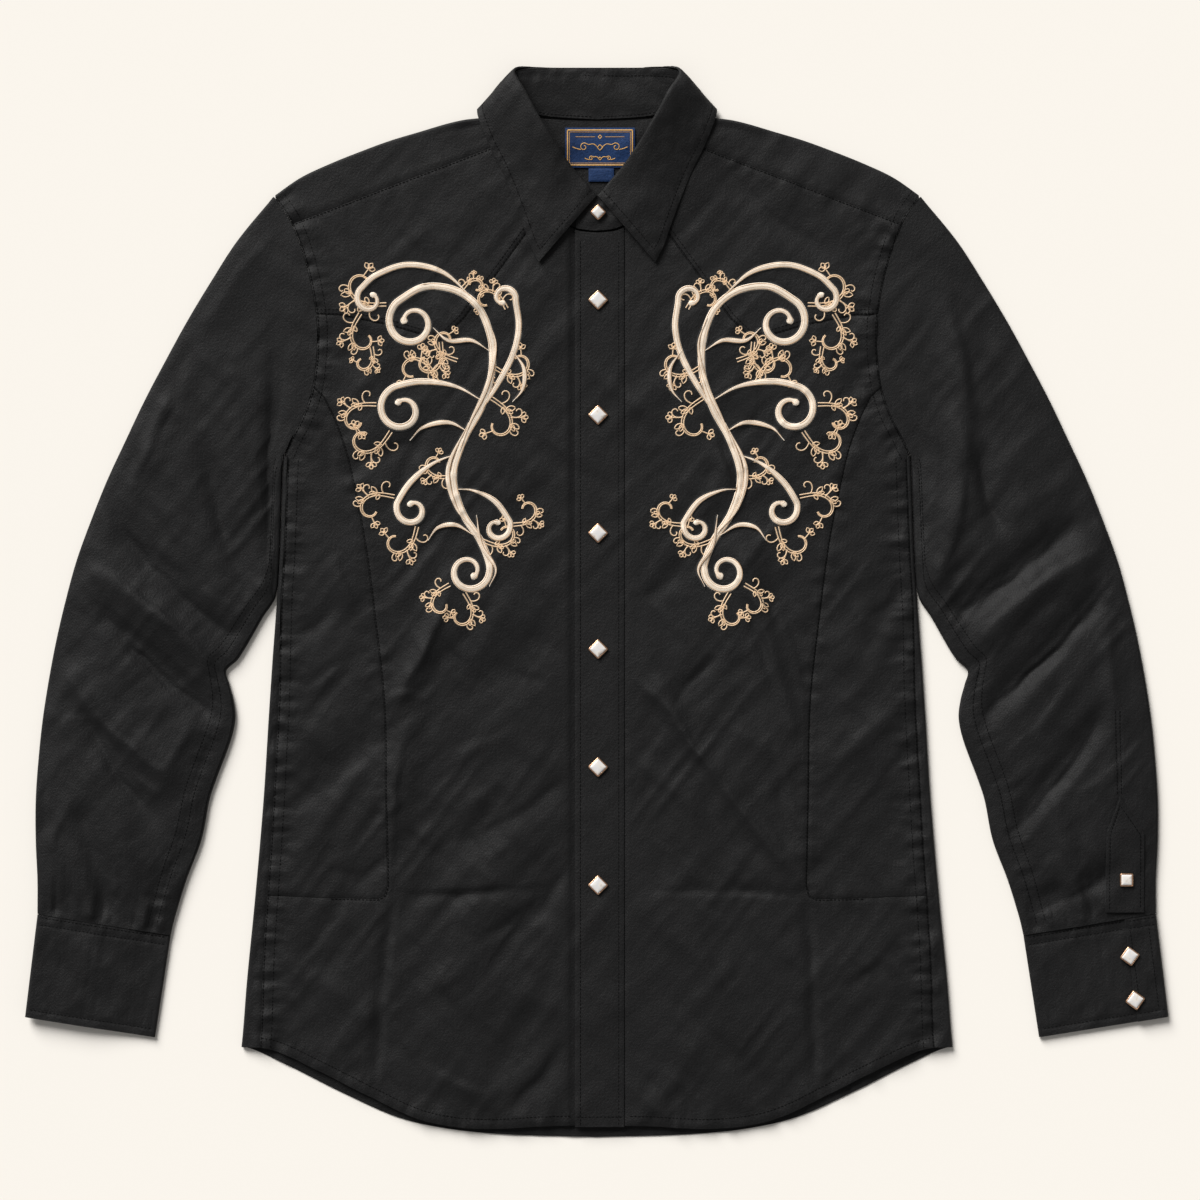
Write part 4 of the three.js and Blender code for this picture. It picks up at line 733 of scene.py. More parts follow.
def wrinkles(nodes, links, turn, across, along, ridged=False):
    """Fine creases drawn out along one direction; sizes are in metres."""
    coordinates = nodes.new("ShaderNodeTexCoord")
    turned = nodes.new("ShaderNodeMapping")
    turned.inputs["Rotation"].default_value = (0, 0, math.radians(turn))
    mapping = nodes.new("ShaderNodeMapping")
    mapping.inputs["Scale"].default_value = (1 / along, 1 / across, 1 / across)
    texture = nodes.new("ShaderNodeTexNoise")
    texture.inputs["Scale"].default_value = 1.0
    texture.inputs["Detail"].default_value = 3.0
    texture.inputs["Roughness"].default_value = 0.55
    texture.inputs["Distortion"].default_value = 0.6
    if ridged:
        texture.noise_type = "RIDGED_MULTIFRACTAL"
        texture.inputs["Distortion"].default_value = 0.25
    links.new(coordinates.outputs["Object"], turned.inputs["Vector"])
    links.new(turned.outputs["Vector"], mapping.inputs["Vector"])
    links.new(mapping.outputs["Vector"], texture.inputs["Vector"])
    return texture


def cotton(name, dark, light, roughness=0.56, sheen=0.02, weave=0.5):
    """Woven cotton: a fine cross weave, slubs, small wrinkles, washed mottling and a soft sheen."""
    material, nodes, links, shader = node_material(name)
    mottled = mapped_noise(nodes, links, 22, 4)
    middle = tuple(mix(a, b, 0.45) for a, b in zip(dark, light))
    colour = ramp(nodes, links, mottled.outputs["Fac"], [(0.3, dark), (0.5, middle), (0.72, light)])
    threads = mapped_noise(nodes, links, 900, 2)
    shade = ramp(nodes, links, threads.outputs["Fac"], [(0.25, (0.66, 0.66, 0.67)), (0.75, (1.24, 1.24, 1.25))])
    mixed = nodes.new("ShaderNodeMix")
    mixed.data_type = "RGBA"
    mixed.blend_type = "MULTIPLY"
    mixed.inputs["Factor"].default_value = 1.0
    links.new(colour.outputs["Color"], mixed.inputs[6])
    links.new(shade.outputs["Color"], mixed.inputs[7])
    links.new(mixed.outputs[2], shader.inputs["Base Color"])
    warp = wave(nodes, links, "X", 620 * weave, 0.4)
    weft = wave(nodes, links, "DIAGONAL", 480 * weave, 0.5)
    crossed = nodes.new("ShaderNodeMath")
    crossed.operation = "MULTIPLY"
    links.new(warp.outputs["Fac"], crossed.inputs[0])
    links.new(weft.outputs["Fac"], crossed.inputs[1])
    slubs = mapped_noise(nodes, links, 620, 4, 0.65)
    first = bump(nodes, links, crossed.outputs[0], 0.4, 0.00022)
    second = bump(nodes, links, slubs.outputs["Fac"], 0.8, 0.0006, first)
    falling = wrinkles(nodes, links, 47, 0.009, 0.018)
    rising = wrinkles(nodes, links, -55, 0.007, 0.015)
    third = bump(nodes, links, falling.outputs["Fac"], 0.3, 0.0012, second)
    fourth = bump(nodes, links, rising.outputs["Fac"], 0.3, 0.001, third)
    crisp_falling = wrinkles(nodes, links, 40, 0.03, 0.11, ridged=True)
    crisp_rising = wrinkles(nodes, links, -47, 0.026, 0.09, ridged=True)
    fifth = bump(nodes, links, crisp_falling.outputs["Fac"], 0.6, 0.0045, fourth)
    sixth = bump(nodes, links, crisp_rising.outputs["Fac"], 0.6, 0.004, fifth)
    links.new(sixth.outputs["Normal"], shader.inputs["Normal"])
    rough = mapped_noise(nodes, links, 120, 3)
    spread = nodes.new("ShaderNodeMapRange")
    spread.inputs["To Min"].default_value = roughness - 0.07
    spread.inputs["To Max"].default_value = roughness + 0.09
    links.new(rough.outputs["Fac"], spread.inputs["Value"])
    links.new(spread.outputs["Result"], shader.inputs["Roughness"])
    shader.inputs["Sheen Weight"].default_value = sheen
    shader.inputs["Sheen Roughness"].default_value = 0.45
    shader.inputs["Sheen Tint"].default_value = (0.75, 0.76, 0.8, 1)
    shader.inputs["Specular IOR Level"].default_value = 0.17
    return material


def thread(name, dark, light, roughness=0.42, sheen=0.3, scale=1500):
    """Embroidery or sewing thread: fine fibres across the stitch and uneven tone."""
    material, nodes, links, shader = node_material(name)
    fibres = mapped_noise(nodes, links, scale, 3, 0.6)
    tone = ramp(nodes, links, fibres.outputs["Fac"], [(0.28, dark), (0.68, light)])
    links.new(tone.outputs["Color"], shader.inputs["Base Color"])
    lines = wave(nodes, links, "DIAGONAL", 700, 2.0)
    first = bump(nodes, links, lines.outputs["Fac"], 0.5, 0.0002)
    links.new(first.outputs["Normal"], shader.inputs["Normal"])
    shader.inputs["Roughness"].default_value = roughness
    shader.inputs["Sheen Weight"].default_value = sheen
    shader.inputs["Sheen Roughness"].default_value = 0.3
    return material


def copper():
    material, nodes, links, shader = node_material("snap_metal")
    worn_tone = mapped_noise(nodes, links, 500, 4)
    tone = ramp(nodes, links, worn_tone.outputs["Fac"], [(0.3, (0.52, 0.29, 0.17)), (0.7, (0.8, 0.53, 0.36))])
    links.new(tone.outputs["Color"], shader.inputs["Base Color"])
    scratches = mapped_noise(nodes, links, 2600, 2)
    first = bump(nodes, links, scratches.outputs["Fac"], 0.15, 0.0001)
    links.new(first.outputs["Normal"], shader.inputs["Normal"])
    shader.inputs["Metallic"].default_value = 1.0
    shader.inputs["Roughness"].default_value = 0.3
    return material


def mother_of_pearl():
    material, nodes, links, shader = node_material("pearl")
    cloud = mapped_noise(nodes, links, 260, 3, 0.5)
    stops = [(0.25, (0.5, 0.44, 0.4)), (0.42, (0.74, 0.7, 0.65)), (0.58, (0.66, 0.66, 0.67)), (0.78, (0.78, 0.7, 0.63))]
    tone = ramp(nodes, links, cloud.outputs["Fac"], stops)
    links.new(tone.outputs["Color"], shader.inputs["Base Color"])
    ripple = wave(nodes, links, "DIAGONAL", 90, 4.0)
    first = bump(nodes, links, ripple.outputs["Fac"], 0.12, 0.0003)
    links.new(first.outputs["Normal"], shader.inputs["Normal"])
    shader.inputs["Roughness"].default_value = 0.22
    shader.inputs["Coat Weight"].default_value = 0.6
    shader.inputs["Coat Roughness"].default_value = 0.08
    return material


black_cotton = cotton("black_cotton", (0.0071, 0.0071, 0.0073), (0.0094, 0.0094, 0.0097))
collar_cotton = cotton("collar_cotton", (0.0066, 0.0066, 0.0068), (0.0087, 0.0087, 0.009))
navy_tab = cotton("navy_tab", (0.008, 0.024, 0.075), (0.014, 0.04, 0.12), 0.6, 0.05, 0.8)
gold_thread = thread("gold_thread", (0.45, 0.24, 0.06), (0.8, 0.47, 0.14), 0.45, 0.05)
black_thread = thread("black_thread", (0.0008, 0.0008, 0.0009), (0.0024, 0.0024, 0.0026), 0.85, 0.0)
black_thread.node_tree.nodes["Principled BSDF"].inputs["Specular IOR Level"].default_value = 0.1
cream_satin = thread("cream_satin", (0.68, 0.55, 0.42), (0.9, 0.81, 0.69), 0.42, 0.1)
tan_thread = thread("tan_thread", (0.6, 0.38, 0.2), (0.9, 0.7, 0.49), 0.48, 0.08)
# tan thread for lines along the scrolls, painted shade of the rounded satin
painted_shade_thread = thread("painted_shade_thread", (0.42, 0.25, 0.12), (0.7, 0.46, 0.27), 0.5, 0.2)
# near-black thread for the bands round the embroidery, painted shadow
painted_shadow_thread = thread("painted_shadow_thread", (0.006, 0.006, 0.006), (0.012, 0.012, 0.012), 0.6)
snap_copper = copper()
snap_pearl = mother_of_pearl()

# Front pieces
def mirrored(points, side):
    return points if side > 0 else [(-x, y) for x, y in points][::-1]


def front_outline(inner_x):
    hem = [p for p in table_line(FRONT_HEM, max(inner_x, 0), float(follow(SIDE_SEAM, HEM_TURN_Y)), swap=True)]
    start = dense([(inner_x, hem[0][1]), hem[0]]) if inner_x < 0 else []
    side = table_line(SIDE_SEAM, HEM_TURN_Y, SIDE_CORNER_Y)[1:]
    corner = dense([side[-1], *PRINCESS_CORNER])[1:]
    princess = dense([*table_line(PRINCESS_SEAM, -221, 160), PRINCESS_TOP])
    arm = table_line(ARMHOLE, PRINCESS_TOP[1], YOKE_ARM_END[1])[1:]
    yoke = dense([*FRONT_YOKE_SEAM, YOKE_NECK_END, NECK_JOIN])
    neck = [p for p in table_line(FRONT_NECK, 0, 36, swap=True)[::-1] if p[0] > max(inner_x, 0) + 1]
    end = [(inner_x, float(follow(FRONT_NECK, max(inner_x, 0))))]
    edge = dense([end[0], start[0] if start else hem[0]])[1:-1]
    end = dense([neck[-1], end[0]])[1:]
    return [*start[:-1], *hem, *side, *corner, *princess, *arm, *yoke, *neck, *end, *edge]


def side_front_outline():
    side = table_line(SIDE_SEAM, SIDE_CORNER_Y, UNDERARM_Y)
    arm = table_line(ARMHOLE, UNDERARM_Y, PRINCESS_TOP[1])[1:]
    princess = dense([PRINCESS_TOP, *table_line(PRINCESS_SEAM, 160, -221)])[1:]
    corner = dense([princess[-1], *PRINCESS_CORNER[::-1], side[0]])[1:-1]
    return [*side, *arm, *princess, *corner]


def front_yoke_outline():
    arm = table_line(ARMHOLE, YOKE_ARM_END[1], 295.4)
    shoulder = table_line(SHOULDER_SEAM, 237.2, 71, swap=True)
    neck = [p for p in table_line(FRONT_NECK, 70.3, 38, swap=True) if p[1] < 357]
    seam = dense([NECK_JOIN, YOKE_NECK_END, *FRONT_YOKE_SEAM[::-1], YOKE_ARM_END])[:-1]
    return [*arm, *shoulder, *neck, *seam]


def clean(points):
    kept = [points[0]]
    for p in points[1:]:
        if math.hypot(p[0] - kept[-1][0], p[1] - kept[-1][1]) > 0.6:
            kept.append(p)
    if math.hypot(kept[0][0] - kept[-1][0], kept[0][1] - kept[-1][1]) < 0.6:
        kept.pop()
    return kept


def right_front_height(x, y):
    return front_top(x, y) - UNDERLAP_DROP * smooth(-23.5, -18.2, x)


front_pieces = {}
for side, hand in ((-1, "right"), (1, "left")):
    inner = PLACKET_SEAM_X + HALF_SEAM if side > 0 else -UNDERLAP_X
    height = front_top if side > 0 else right_front_height
    for kind, outline in (
        ("front", front_outline(inner)),
        ("side_front", side_front_outline()),
        ("front_yoke", front_yoke_outline()),
    ):
        name = f"{kind}_{hand}"
        points = mirrored(clean(outline), side)
        front_pieces[name] = flat_shell(f"{name}_cloth", points, height, black_cotton, [name])

# Placket
columns = np.linspace(PLACKET_LEFT_X, PLACKET_SEAM_X, 19)
rows = np.linspace(PLACKET_HEM_Y, PLACKET_TOP_Y, 270)
px, py = np.meshgrid(columns, rows)
py = py + (follow(FRONT_NECK, np.abs(px)) - 288.6) * smooth(PLACKET_TOP_Y - 12, PLACKET_TOP_Y, py)
edge = np.minimum(px - PLACKET_LEFT_X, PLACKET_SEAM_X - px)


def placket_top(x, y):
    return front_top(x, y) + PLACKET_RISE


stitch_dents = 0.2 * np.exp(-(((edge - 4.2) / 1.0) ** 2)) + 0.35 * np.exp(-((edge / 0.9) ** 2))
placket_pucker = 0.16 * noise(py / 8.5, px / 30, 77) * np.exp(-((edge / 6) ** 2))
placket_z = placket_top(px, py) - stitch_dents + placket_pucker
outer = np.stack([px, py, placket_z], -1)
lower = np.stack([px, py, placket_z - STIFF_CLOTH + 0.3], -1)
points, faces = grid_faces(outer, lower)
placket = make("placket_cloth", points, faces, black_cotton, ["placket"], "cloth")


# Back panel
def back_level(x, y):
    """How far the underside rises off the ground in its creases."""
    crease = fold_height(BODY_FOLDS, -x, y) * 0.35 + crease_height(BODY_CREASES, -x, y) * 0.5 + worn(-x, y, SEED + 50)
    reach = smooth(4, 30, body_edge_distance(x, y))
    return np.clip(crease - 0.25, 0, 1.3) * reach


levels_low = np.linspace(HEM_TURN_Y, UNDERARM_Y, 110)
levels_high = np.linspace(UNDERARM_Y, BACK_YOKE_SEAM_Y - HALF_SEAM, 30)[1:]
FLAT_COLUMNS = 84
ALLOWANCE_COLUMNS = 6
all_levels = np.concatenate([levels_low, levels_high])
edge_xs = follow(BODY_EDGE, np.minimum(all_levels, UNDERARM_Y))
seam_xs = np.minimum(follow(SIDE_SEAM, np.minimum(all_levels, UNDERARM_Y)), edge_xs - 3.0) + HALF_SEAM
allowance_xs = np.linspace(seam_xs, edge_xs - ROLL, ALLOWANCE_COLUMNS + 1, axis=1)[:, :-1]
allowance_tops = {sign: front_top(sign * allowance_xs, all_levels[:, None]) for sign in (1, -1)}
grid = []
for row, level in enumerate(all_levels):
    low = level <= UNDERARM_Y
    centre, seam_x, allowance_x = edge_xs[row] - ROLL, seam_xs[row], allowance_xs[row]
    radius = ROLL - SHELL / 2
    angles = np.pi / 2 - np.pi * np.linspace(0, 1, ROLL_STEPS + 1)
    if not low:
        centre = float(follow(ARMHOLE, level)) - HALF_SEAM - 2.2 * (1 - float(smooth(UNDERARM_Y, 126, level)))
    flat_x = np.linspace(1, -1, FLAT_COLUMNS + 1)[1:-1] * centre
    hem_share = 1 - float(smooth(0, 0.34, (level - HEM_TURN_Y) / (UNDERARM_Y - HEM_TURN_Y))) if low else 0.0
    flat_y = level + (follow(BACK_HEM, np.abs(flat_x)) - HEM_TURN_Y) * hem_share
    stitched = 0.25 * np.exp(-(((flat_y - follow(BACK_HEM, np.abs(flat_x)) - 7.8) / 1.3) ** 2))
    stitched += 0.25 * np.exp(-(((BACK_YOKE_SEAM_Y - flat_y - 2) / 1.2) ** 2))
    flat_z = SHELL / 2 + back_level(flat_x, flat_y) + stitched
    half = []
    for sign in (1, -1):
        allowance_z = allowance_tops[sign][row] - SHELL / 2 - 0.6 * np.exp(-(((allowance_x - seam_x) / 1.2) ** 2))
        end_z = 2 * ROLL - SHELL / 2
        allowance_z = mix(allowance_z, end_z, smooth(seam_x + 4, centre, allowance_x))
        roll_x = centre + radius * np.cos(angles)
        roll_z = ROLL + radius * np.sin(angles)
        xs = np.concatenate([allowance_x, roll_x]) * sign
        zs = np.concatenate([allowance_z, roll_z])
        half.append(np.stack([xs, np.full(len(xs), level), zs], 1))
    flat = np.stack([flat_x, flat_y, flat_z], 1)
    grid.append(np.concatenate([half[0], flat, half[1][::-1]]))
grid = np.array(grid)
rolled = ALLOWANCE_COLUMNS + ROLL_STEPS
keep = np.ones((grid.shape[0] - 1, grid.shape[1] - 1), dtype=bool)
keep[len(levels_low) - 1:, :rolled] = False
keep[len(levels_low) - 1:, grid.shape[1] - 1 - rolled:] = False
outer, inner_face = about(grid, SHELL)
points, faces = grid_faces(outer, inner_face, keep)
back = make("back_cloth", points, faces, black_cotton, ["back"], "cloth")


# Back yoke, over both shoulders
def yoke_floor(x, y):
    return 2.2 * smooth(342, 360, y) * (1 - smooth(96, 130, np.abs(x)))


yoke_x = np.concatenate([np.linspace(-251, -74, 50)[:-1], np.linspace(-74, 74, 37), np.linspace(74, 251, 50)[1:]])


def arm_limit(y):
    return np.where(y < ARM_TIP[1], follow(ARMHOLE, y) - HALF_SEAM, 251.0)


def in_armhole(x_column, y_of):
    """Narrows a row of points to the armhole, with its height along the shirt kept to the row's line."""
    x = x_column.copy()
    for _ in range(6):
        x = x_column * np.minimum(1, arm_limit(y_of(np.abs(x))) / 251)
    return x, y_of(np.abs(x))


grid = []
flat_rows = 26
angles = np.pi * np.linspace(0, 1, ROLL_STEPS + 1)[1:]
for k in range(flat_rows):
    share = 1 - (1 - k / (flat_rows - 1)) ** 1.4

    def y_of(x, share=share):
        neck = mix(375.9, 380.6, (x / 70) ** 2)
        fold = np.where(x < 70, neck, follow(SHOULDER_FOLD, x) - ROLL)
        return mix(BACK_YOKE_SEAM_Y + HALF_SEAM, fold, share)

    x, y = in_armhole(yoke_x, y_of)
    seam = 0.25 * np.exp(-(((y - BACK_YOKE_SEAM_Y - 4) / 1.2) ** 2))
    rise = np.clip(worn(x, y, SEED + 60) - 0.2, 0, 0.7) * smooth(6, 40, body_edge_distance(x, y)) * (1 - smooth(335, 350, y))
    grid.append(np.stack([x, y, yoke_floor(x, y) + SHELL / 2 + rise + seam], 1))
for angle in angles:
    def y_of(x, angle=angle):
        return follow(SHOULDER_FOLD, x) - ROLL + (ROLL - SHELL / 2) * math.sin(angle)

    x, y = in_armhole(yoke_x, y_of)
    low = yoke_floor(x, np.full(len(x), 400.0))
    radius = (EDGE_HEIGHT + 1.6 - low) / 2 - SHELL / 2 - 0.8 * smooth(90, 150, np.abs(x))
    grid.append(np.stack([x, y, low + SHELL / 2 + radius - radius * math.cos(angle)], 1))
FRONT_ROWS = 11
for share in np.linspace(0, 1, FRONT_ROWS)[1:]:
    def y_of(x, share=share):
        return mix(follow(SHOULDER_FOLD, x) - ROLL, follow(SHOULDER_SEAM, x) + HALF_SEAM, share)

    x, y = in_armhole(yoke_x, y_of)
    z = front_top(x, y) - SHELL / 2 - 0.4 * np.exp(-(((y - follow(SHOULDER_SEAM, np.abs(x))) / 1.2) ** 2))
    grid.append(np.stack([x, y, z], 1))
grid = np.array(grid)
middle_columns = 0.5 * (yoke_x[1:] + yoke_x[:-1])
keep = np.ones((grid.shape[0] - 1, grid.shape[1] - 1), dtype=bool)
keep[flat_rows - 1:, np.abs(middle_columns) < 74] = False
outer, inner_face = about(grid, SHELL)
points, faces = grid_faces(outer, inner_face, keep)
back_yoke = make("back_yoke_cloth", points, faces, black_cotton, ["back_yoke"], "cloth")


# Sleeves
def sleeve_plan(across, along):
    outer_y = mix(ARM_TIP[1], SLEEVE_OUTER[0][0], along**0.84)
    inner_y = mix(UNDERARM_Y, SLEEVE_INNER[0][0], along)
    arm_y = mix(ARM_TIP[1], UNDERARM_Y, across)
    fade = 1 - smooth(0, 0.5, along)
    bulge_x = (follow(ARMHOLE, arm_y) - mix(ARM_TIP[0], SLEEVE_INNER[-1][1], across)) * fade
    bulge_y = (arm_y - mix(ARM_TIP[1], UNDERARM_Y, across)) * fade
    x = mix(follow(SLEEVE_OUTER, outer_y), follow(SLEEVE_INNER, inner_y), across) + bulge_x
    y = mix(outer_y, inner_y, across) + bulge_y
    body = np.where(y > UNDERARM_Y, follow(ARMHOLE, y), follow(BODY_EDGE, y))
    clear = (ROLL + 1 + 40 * (1 - across)) * smooth(0, 0.07, along)
    return np.maximum(x, body + clear), y


SLEEVE_SEAM_IN = 13.5
OPENING_SEAM = [(407.2, -150.0), (405.6, -83.5)]


def sleeve_width(along):
    """Width of the sleeve as laid, from the armhole to the wrist."""
    return mix(200, 106, along)


def sleeve_detail(side, x, y, across, along):
    creases = SLEEVE_LEFT_CREASES if side > 0 else SLEEVE_RIGHT_CREASES
    edge = smooth(0.015, 0.1, np.minimum(across, 1 - across))
    width = sleeve_width(along)
    cap = np.exp(-((along * 560 / 26) ** 2))
    cap_waves = noise(across * width / 8.5, along * 14, 21 + side) * 0.8 * cap
    gather = np.exp(-(((1 - along) * 560 / 46) ** 2))
    gather_waves = (1.4 * noise(across * 13, along * 7, 25 + side) + 0.8 * noise(across * 29, along * 9, 27 + side)) * gather
    seam_distance = (1 - across) * sleeve_width(along) - SLEEVE_SEAM_IN
    wave = noise(along * 560 / 9, across * 3, 29 + side) + 0.5 * noise(along * 560 / 4.2, across * 3, 31 + side)
    seam = 0.6 * wave * np.exp(-((seam_distance / 10) ** 2)) * smooth(0.1, 0.2, along)
    seam -= 0.55 * np.exp(-((seam_distance / 1.5) ** 2)) * smooth(0.04, 0.12, along)
    if side > 0:
        opening, _ = line_place(x, y, OPENING_SEAM)
        seam = seam - 0.5 * np.exp(-((opening / 1.5) ** 2))
    fine = crease_height(creases, side * x, y) + worn(side * x, y, SEED + 20 + side)
    ends = smooth(0, 0.02, along) * smooth(0, 0.015, 1 - along)
    return (fine * smooth(0, 0.05, along) + cap_waves + gather_waves + seam) * edge * ends


def sleeve_top(side, x, y, across, along, detail=True):
    folds = SLEEVE_LEFT_FOLDS if side > 0 else SLEEVE_RIGHT_FOLDS
    round_ = np.sin(np.pi * np.clip(across, 0, 1)) ** 0.7
    full = EDGE_HEIGHT + 3.2 * round_ * smooth(0.02, 0.3, along) * (1 - smooth(0.84, 1, along)) + 0.8 * round_
    free = full + fold_height(folds, side * x, y) * smooth(0.04, 0.2, np.minimum(across, 1 - across))
    if detail:
        inner = smooth(0.05, 0.25, np.minimum(across, 1 - across))
        fold = fold_height(folds, side * x, y)
        free = free + np.where(fold < 0, TROUGH_EXTRA, RIDGE_EXTRA) * fold * inner
        free = free + sleeve_detail(side, x, y, across, along)
    high = np.maximum(free, LOWEST_FRONT + 0.15 * (free - LOWEST_FRONT))
    start = body_top(side * x, y)
    return mix(start, high, smooth(0, 0.12, along))


def wrist_lift(across):
    return SNAP_LIFT * (1 - smooth(0.35, 0.95, across))


def sleeve_lift(side, x, y, across, along):
    if side > 0:
        return np.zeros(np.shape(x))
    at_band = BAND_LIFT * (1 - smooth(6, 45, np.hypot(x - SLEEVE_SNAP[0], y - SLEEVE_SNAP[1])))
    return wrist_lift(across) * smooth(0.6, 0.82, along) + at_band


def sleeve_place(x, y):
    """Shares across and along the sleeve of points near the wrist."""
    across, along = np.full(np.shape(x), 0.2), np.full(np.shape(x), 0.9)
    for _ in range(12):
        low, high = np.full(np.shape(x), 0.5), np.ones(np.shape(x))
        for _ in range(24):
            along = (low + high) / 2
            above = sleeve_plan(across, along)[1] > y
            low, high = np.where(above, along, low), np.where(above, high, along)
        outer_x = sleeve_plan(np.zeros(np.shape(x)), along)[0]
        across = np.clip((outer_x - x) / (outer_x - sleeve_plan(np.ones(np.shape(x)), along)[0]), 0, 1)
    return across, along


def edge_normal(table, y, inward):
    slope = (follow(table, y + 4) - follow(table, y - 4)) / 8
    length = np.hypot(1, slope)
    return inward / length, -inward * slope / length


TROUGH_EXTRA = 0.75
RIDGE_EXTRA = -0.1
SLEEVE_ROWS = 240
ACROSS_COUNT = 60
UNDER_COUNT = 20
SLEEVE_ROLL_STEPS = 7
SLEEVE_CLEAR = 0.2
SLEEVE_TIP_CLEAR = 0.3


def sleeve_grid(side):
    along = np.linspace(0, 1, SLEEVE_ROWS + 1)
    parts = []

    def roll(table, y, inward, start, end, across):
        nx, ny = edge_normal(table, np.clip(y, table[0][0] + 4, table[-1][0] - 4), inward)
        radius = ROLL - SHELL / 2
        for angle in np.linspace(start, end, SLEEVE_ROLL_STEPS + 1):
            out = ROLL - radius * math.cos(angle)
            px_, py_ = follow(table, y) + nx * out, y + ny * out
            lift = sleeve_lift(side, px_, py_, across, along)
            parts.append((px_, py_, ROLL + radius * math.sin(angle) + lift, across))

    outer_y = mix(ARM_TIP[1], SLEEVE_OUTER[0][0], along**0.84)
    inner_y = mix(UNDERARM_Y, SLEEVE_INNER[0][0], along)
    shares = np.linspace(0, 1, ACROSS_COUNT + 2)[1:-1]
    roll(SLEEVE_OUTER, outer_y, -1, -np.pi / 2, np.pi / 2, 0)
    for share in shares:
        x, y = sleeve_plan(share, along)
        z = sleeve_top(side, x, y, share, along) - SHELL / 2 + sleeve_lift(side, x, y, share, along)
        parts.append((x, y, z, share))
    roll(SLEEVE_INNER, inner_y, 1, np.pi / 2, -np.pi / 2, 1)
    for share in np.linspace(1, 0, UNDER_COUNT + 2)[1:-1]:
        x, y = sleeve_plan(share, along)
        under = 0.5 * fold_height(SLEEVE_LEFT_FOLDS, x, y) + worn(x, y, SEED + 40 + side)
        under += 0.9 * noise(np.full(len(x), share * 13.0), along * 7, 35) * np.exp(-(((1 - along) * 12) ** 2))
        rise = np.clip(under - 0.2, 0, 1.4) * min(1.0, 6 * min(share, 1 - share)) * smooth(0.03, 0.1, along)
        z = SHELL / 2 + rise * smooth(0, 0.03, 1 - along) + sleeve_lift(side, x, y, share, along)
        parts.append((x, y, z, share))
    grid = np.stack([np.stack([np.broadcast_to(p[k], along.shape) for p in parts], 1) for k in range(3)], -1)
    rolled = SLEEVE_ROLL_STEPS + 1
    first = grid[0].copy()
    for k in range(first.shape[0]):
        x, y, z = first[k]
        if rolled + ACROSS_COUNT <= k < 2 * rolled + ACROSS_COUNT:
            first[k] = (x + SLEEVE_CLEAR, y, z)
            continue
        slope = float(follow(ARMHOLE, y + 3) - follow(ARMHOLE, y - 3)) / 6
        length = math.hypot(1, slope)
        clear = SLEEVE_TIP_CLEAR if k < rolled else SLEEVE_CLEAR
        first[k] = (x + clear / length, y - clear * slope / length, z)
    grid[0] = first
    grid[..., 0] *= side
    return grid


def band_height(side, x, y):
    across, along = sleeve_place(x, y)
    if side < 0:
        return sleeve_lift(side, x, y, across, along) - LAID
    return sleeve_top(side, x, y, across, along, detail=False) + BAND_CLEAR


def cuff_point(u, v):
    corners = {name: np.array(point) for name, point in CUFF_CORNERS.items()}
    u, v = np.asarray(u)[..., None], np.asarray(v)[..., None]
    top = mix(corners["top_outer"], corners["top_inner"], u)
    bottom = mix(corners["bottom_outer"], corners["bottom_inner"], u)
    return mix(top, bottom, v)


CUFF_LENGTH = 80
CUFF_TOP_STITCH = 7.4
CUFF_LOW_STITCH = 6.2


def cuff_relief(side, u, v):
    """Waves, puckers and stitch dents of the cuff's shown face."""
    down = v * CUFF_LENGTH
    sides = np.minimum(v, 1 - v) * CUFF_LENGTH
    wave = noise(u * 11, v * 4 + side, 61) * 0.45 + noise(u * 27, v * 9, 62) * 0.22
    pucker = noise(u * 34, v * 2 + side, 63) * 0.5 * np.exp(-((down / 8) ** 2))
    dent = 0.4 * np.exp(-(((down - CUFF_TOP_STITCH) / 1.3) ** 2))
    dent += 0.4 * np.exp(-(((CUFF_LENGTH - down - CUFF_LOW_STITCH) / 1.3) ** 2))
    return (wave * smooth(0, 8, sides) + pucker - dent) * smooth(0.0, 0.05, np.minimum(u, 1 - u))


def cuff_face(side, u, v):
    """Points on the cuff's shown face."""
    u, v = np.broadcast_arrays(np.asarray(u, dtype=float), np.asarray(v, dtype=float))
    if side > 0:
        level = np.where(u < OVERLAP_SHARE, CUFF_LAP, CUFF_HIGH)
    else:
        level = CUFF_LAP + wrist_lift(u) - (CUFF_LAP - CUFF_HIGH) * smooth(0.35, 0.95, u)
    plan = cuff_point(u, v)
    z = level + cuff_relief(side, u, v) + CUFF_CLOTH / 2 - 0.08
    return np.stack([plan[..., 0] * side, plan[..., 1], z], -1)


